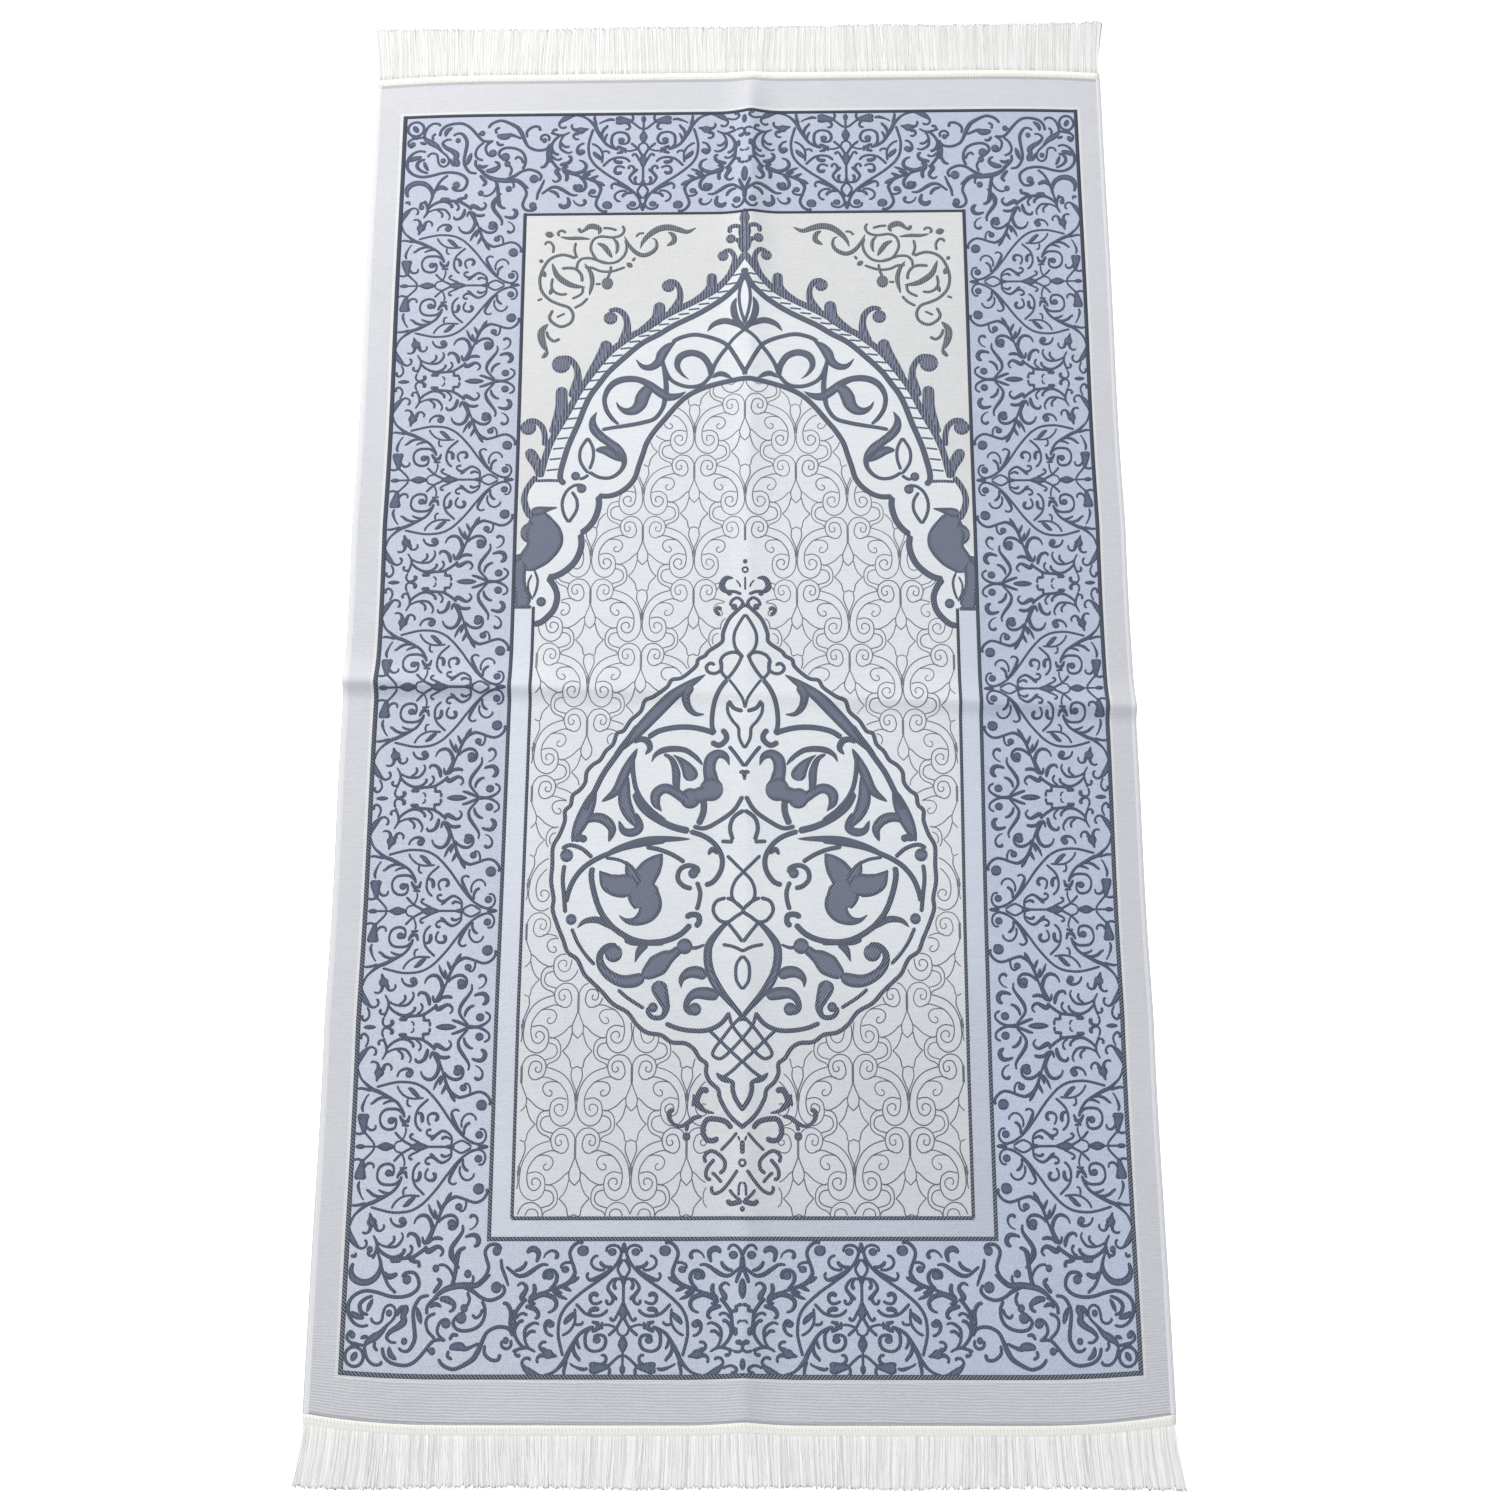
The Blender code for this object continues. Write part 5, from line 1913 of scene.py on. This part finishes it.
@dataclass(frozen=True)
class Yarn:
    """Plain pale yarn, with its two shades mixed by noise and a twist of some pitch in mm."""

    name: str
    light: Light
    shade: Screen
    deep: Screen
    pitch: float = 0.9

    def mix(self, f: Finish, u: Number) -> Number:
        """How deep the yarn's shade is."""
        return f.noise(0.004) * 0.7 + f.noise(0.0012) * 0.3

    def twist(self, u: Number, v: Number) -> Number:
        """Height of the twist, from 0 to 1."""
        return u.wave(self.pitch)

    def material(self) -> bpy.types.Material:
        """Two shades of one yarn, with fine twist as bump."""
        f = Finish(self.name)
        u, v = f.pattern()
        shade, deep = self.light.cloth(*self.shade), self.light.cloth(*self.deep)
        colour = f.blend(self.mix(f, u), shade, deep)
        return f.dress(colour, 0.78, self.twist(u, v), 0.00012, 0.15)


@dataclass(frozen=True)
class FringeYarn(Yarn):
    """Yarn of loose threads, whose map holds each thread's own tint and the share of its length."""

    def mix(self, f: Finish, u: Number) -> Number:
        """How deep the shade is: mostly the thread's own tint."""
        return u / 1000 * 0.6 + f.noise(0.004) * 0.3

    def twist(self, u: Number, v: Number) -> Number:
        """Height of the twist: turns along the thread, each thread's from its own start."""
        return (v / 1000 * 260 + u * 0.05).sine() * 0.5 + 0.5


# -------- The studio


@dataclass(frozen=True)
class StudioFloor:
    """The plain white floor."""

    size: float = 6.0
    height: float = -0.0004

    def build(self) -> None:
        """A square sheet just under the rug, so pale that it shows white."""
        half = self.size / 2
        corners = np.array([[-half, -half, 0], [half, -half, 0], [half, half, 0], [-half, half, 0]])
        corners[:, 2] = self.height
        floor = mesh_piece("floor", corners, np.array([[0, 1, 2, 3]]), soft=False)
        f = Finish("floor_white")
        f.wire(f.shader, {"Emission Color": (1, 1, 1, 1), "Emission Strength": 0.85})
        floor.data.materials.append(f.dress((0.93, 0.93, 0.93, 1.0), 0.9))


@dataclass(frozen=True)
class Studio:
    """Soft light from the far left, a weak fill at the near end, a white surround and the camera above."""

    camera_place: Triple = (0.0246, -0.280, 1.135)
    camera_turn: Triple = (0.1925, 0.0128, -0.0022)
    lens: float = 33.07
    surround: Colour = (0.945, 0.975, 1.0, 1.0)
    surround_strength: float = 0.65

    def lamp(self, name: str, place: Triple, aim: Triple, size: Point, power: float, colour: Triple) -> None:
        """A soft lamp of some width and depth at a place, turned to its aim."""
        light = bpy.data.lights.new(name, "AREA")
        light.shape = "RECTANGLE"
        light.size, light.size_y = size
        light.energy = power
        light.color = colour
        lamp = bpy.data.objects.new(name, light)
        lamp.location = place
        from_aim = np.subtract(place, aim)
        flat = math.hypot(from_aim[0], from_aim[1])
        lamp.rotation_euler = (math.atan2(flat, from_aim[2]), 0.0, math.atan2(from_aim[0], -from_aim[1]))
        bpy.context.scene.collection.objects.link(lamp)

    def build(self) -> None:
        """World light, both lamps, camera and plain colour handling."""
        scene = bpy.context.scene
        scene.world = bpy.data.worlds.new("studio")
        scene.world.use_nodes = True
        background = scene.world.node_tree.nodes["Background"]
        background.inputs[0].default_value = self.surround
        background.inputs[1].default_value = self.surround_strength
        self.lamp("key", (-1.6, 1.9, 1.6), (0.0, 0.0, 0.0), (1.2, 1.2), 70, (1.0, 0.955, 0.90))
        self.lamp("fill", (0.0, -0.98, 0.32), (0.0, -0.62, 0.0), (1.2, 0.2), 0.7, (1.0, 0.99, 0.98))
        scene.view_settings.view_transform = "Standard"
        scene.view_settings.look = "None"
        camera = bpy.data.cameras.new("camera")
        camera.lens = self.lens
        camera.sensor_width = 36
        seen = bpy.data.objects.new("camera", camera)
        seen.location = self.camera_place
        seen.rotation_euler = self.camera_turn
        scene.collection.objects.link(seen)
        scene.camera = seen


# -------- The rug


@dataclass(frozen=True)
class Weight:
    """How much heavier the loom draws a line than its drawing: a factor, then millimetres added.

    Lines wider than 5 mm grow by less of the factor, and lines wider than 4 mm by less of what is
    added.
    """

    factor: float = 1.0
    added: float = 0.1

    def on(self, stroke: Stroke) -> Stroke:
        """The stroke with its widths made heavier, its pointed ends least."""
        wide = max(stroke.wide, 1.0)
        full = np.clip(stroke.widths / max(stroke.wide, 1e-6) * 2, 0, 1)
        factor = 1 + (self.factor - 1) * min(1.0, 5.0 / wide)
        return Stroke(stroke.line, stroke.widths * factor + self.added * full * min(1.0, 4.0 / wide))


@dataclass(frozen=True)
class Figure:
    """One woven piece: what it draws, in which thread, how high and how heavy."""

    name: str
    strokes: Sequence[Stroke]
    thread: bpy.types.Material
    weight: Weight = Weight()
    relief: Relief = Relief()

    def build(self, lie: ClothLie) -> bpy.types.Object:
        """The strokes at their weight, as a relief on the cloth."""
        heavier = [self.weight.on(stroke) for stroke in self.strokes]
        return woven_figure(self.name, heavier, lie, self.relief)


@dataclass
class PrayerRug:
    """The whole rug: cloth, woven figures, stitching, tapes and fringes."""

    lie: ClothLie = field(default_factory=ClothLie)
    light: Light = field(default_factory=Light)
    # Painted light: colours of the fringe yarn and the tapes are divided by a lower level, so they are
    # painted brighter to make up for the shade their threads cast on each other.
    painted_light_lift: Light = field(default_factory=lambda: Light(level=1.0))
    border: ScrollBorder = field(default_factory=ScrollBorder)
    arch: ArchFrame = field(default_factory=ArchFrame)
    corners: CornerScrolls = field(default_factory=CornerScrolls)
    medallion: Medallion = field(default_factory=Medallion)
    lattice: ScrollLattice = field(default_factory=ScrollLattice)
    lines: GuardLines = field(default_factory=GuardLines)

    def place(self, piece: bpy.types.Object, material: bpy.types.Material, slot: str) -> bpy.types.Object:
        """Dress a piece, put it on the rug's body and log it."""
        piece.data.materials.append(material)
        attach(piece, "root")
        piece.data.calc_loop_triangles()
        log.info("%s: %d triangles", piece.name, len(piece.data.loop_triangles))
        return piece

    def figures(self) -> list[Figure]:
        """All woven figures, in pieces by their place and thread."""
        light = self.light
        border = FigureThread("border_thread", light, (76, 84, 106), (112, 121, 146), (112, 120, 143),
                              Hatch.SLANTED, 1.9, rim=1.5).material()
        crest = FigureThread("crest_thread", light, (78, 85, 103), (150, 155, 174), (140, 146, 166),
                             Hatch.UPRIGHT, 2.5, within=0.75).material()
        fine = FigureThread("corner_thread", light, (92, 97, 106), (160, 164, 172), (130, 134, 142),
                            Hatch.UPRIGHT, 1.7, cover=0.6).material()
        oval = FigureThread("medallion_thread", light, (66, 73, 90), (146, 152, 171), (138, 145, 165),
                            Hatch.SLANTED, 1.75, within=0.6).material()
        left, right, ends = self.border.pieces()
        lattice = self.lattice.strokes(self.arch.half_width, self.medallion.half_width)
        thin, twisted = LineThread(light).material(), TwistedLine(light).material()
        return [
            Figure("border_left", left, border),
            Figure("border_right", right, border),
            Figure("border_ends", ends, border, Weight(1.12, 0.3)),
            Figure("arch_crest", self.arch.crested(), crest, Weight(1.04, 0.3)),
            Figure("corner_scrolls", self.corners.strokes(), fine, Weight(1.35, 0.45)),
            Figure("arch_scrolls", self.arch.scrolled(), oval, Weight(1.05, 0.5)),
            Figure("medallion_figure", self.medallion.dark(), oval, Weight(1.05, 0.4)),
            Figure("field_lattice", lattice, thin, Weight(1.03, 0.0), Relief(top=0.10)),
            Figure("guard_lines", self.lines.strokes(), twisted, Weight(1.0, 0.2), Relief(top=0.34)),
        ]

    def fringed(self, end: End, tape: bpy.types.Material) -> list[bpy.types.Object]:
        """One end's tape, seam, bed of yarn and loose threads."""
        # Painted light: the near fringe's yarn is painted brighter and the far fringe's darker, so both ends
        # come out alike under a light that is weaker at the near end.
        yarn_painted_for_light = {
            End.NEAR: ((255, 255, 254), (251, 251, 250)),
            End.FAR: ((244, 245, 244), (238, 239, 239)),
        }
        sewn = FringedEnd(self.lie, end)
        yarn = FringeYarn(f"fringe_yarn_{sewn.label}", self.painted_light_lift, *yarn_painted_for_light[end]).material()
        made = [
            self.place(sewn.tape(), tape, "fringe_yarn"),
            self.place(sewn.seam(), tape, "fringe_yarn"),
            self.place(sewn.bed(), yarn, "fringe_yarn"),
        ]
        fringe = self.place(sewn.fringe(), yarn, "fringe_yarn")
        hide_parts(f"fringe_{sewn.label}")
        return [*made, fringe]

    def build(self) -> None:
        ground = JacquardGround(self.light, self.lines, self.arch, self.medallion).material()
        stitch = Yarn("edge_stitch_yarn", self.light, (244, 245, 249), (233, 235, 241), 1.0).material()
        # Painted light: the tape's yarn is painted brighter by the lower light level.
        tape = Yarn("tape_yarn", self.painted_light_lift, (249, 248, 243), (244, 243, 238)).material()
        cloth = self.place(ClothSheet(self.lie).build(), ground, "woven_cloth")
        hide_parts("cloth")
        parts = [self.place(each.build(self.lie), each.thread, "woven_cloth") for each in self.figures()]
        parts.append(self.place(EdgeStitching(self.lie).build(), stitch, "woven_cloth"))
        for end in End:
            parts += self.fringed(end, tape)


def main() -> None:
    """Build the rug, its floor and its studio."""
    logging.basicConfig(level=logging.INFO, format="%(message)s")
    PrayerRug().build()
    StudioFloor().build()
    Studio().build()


if __name__ == "__main__":
    main()
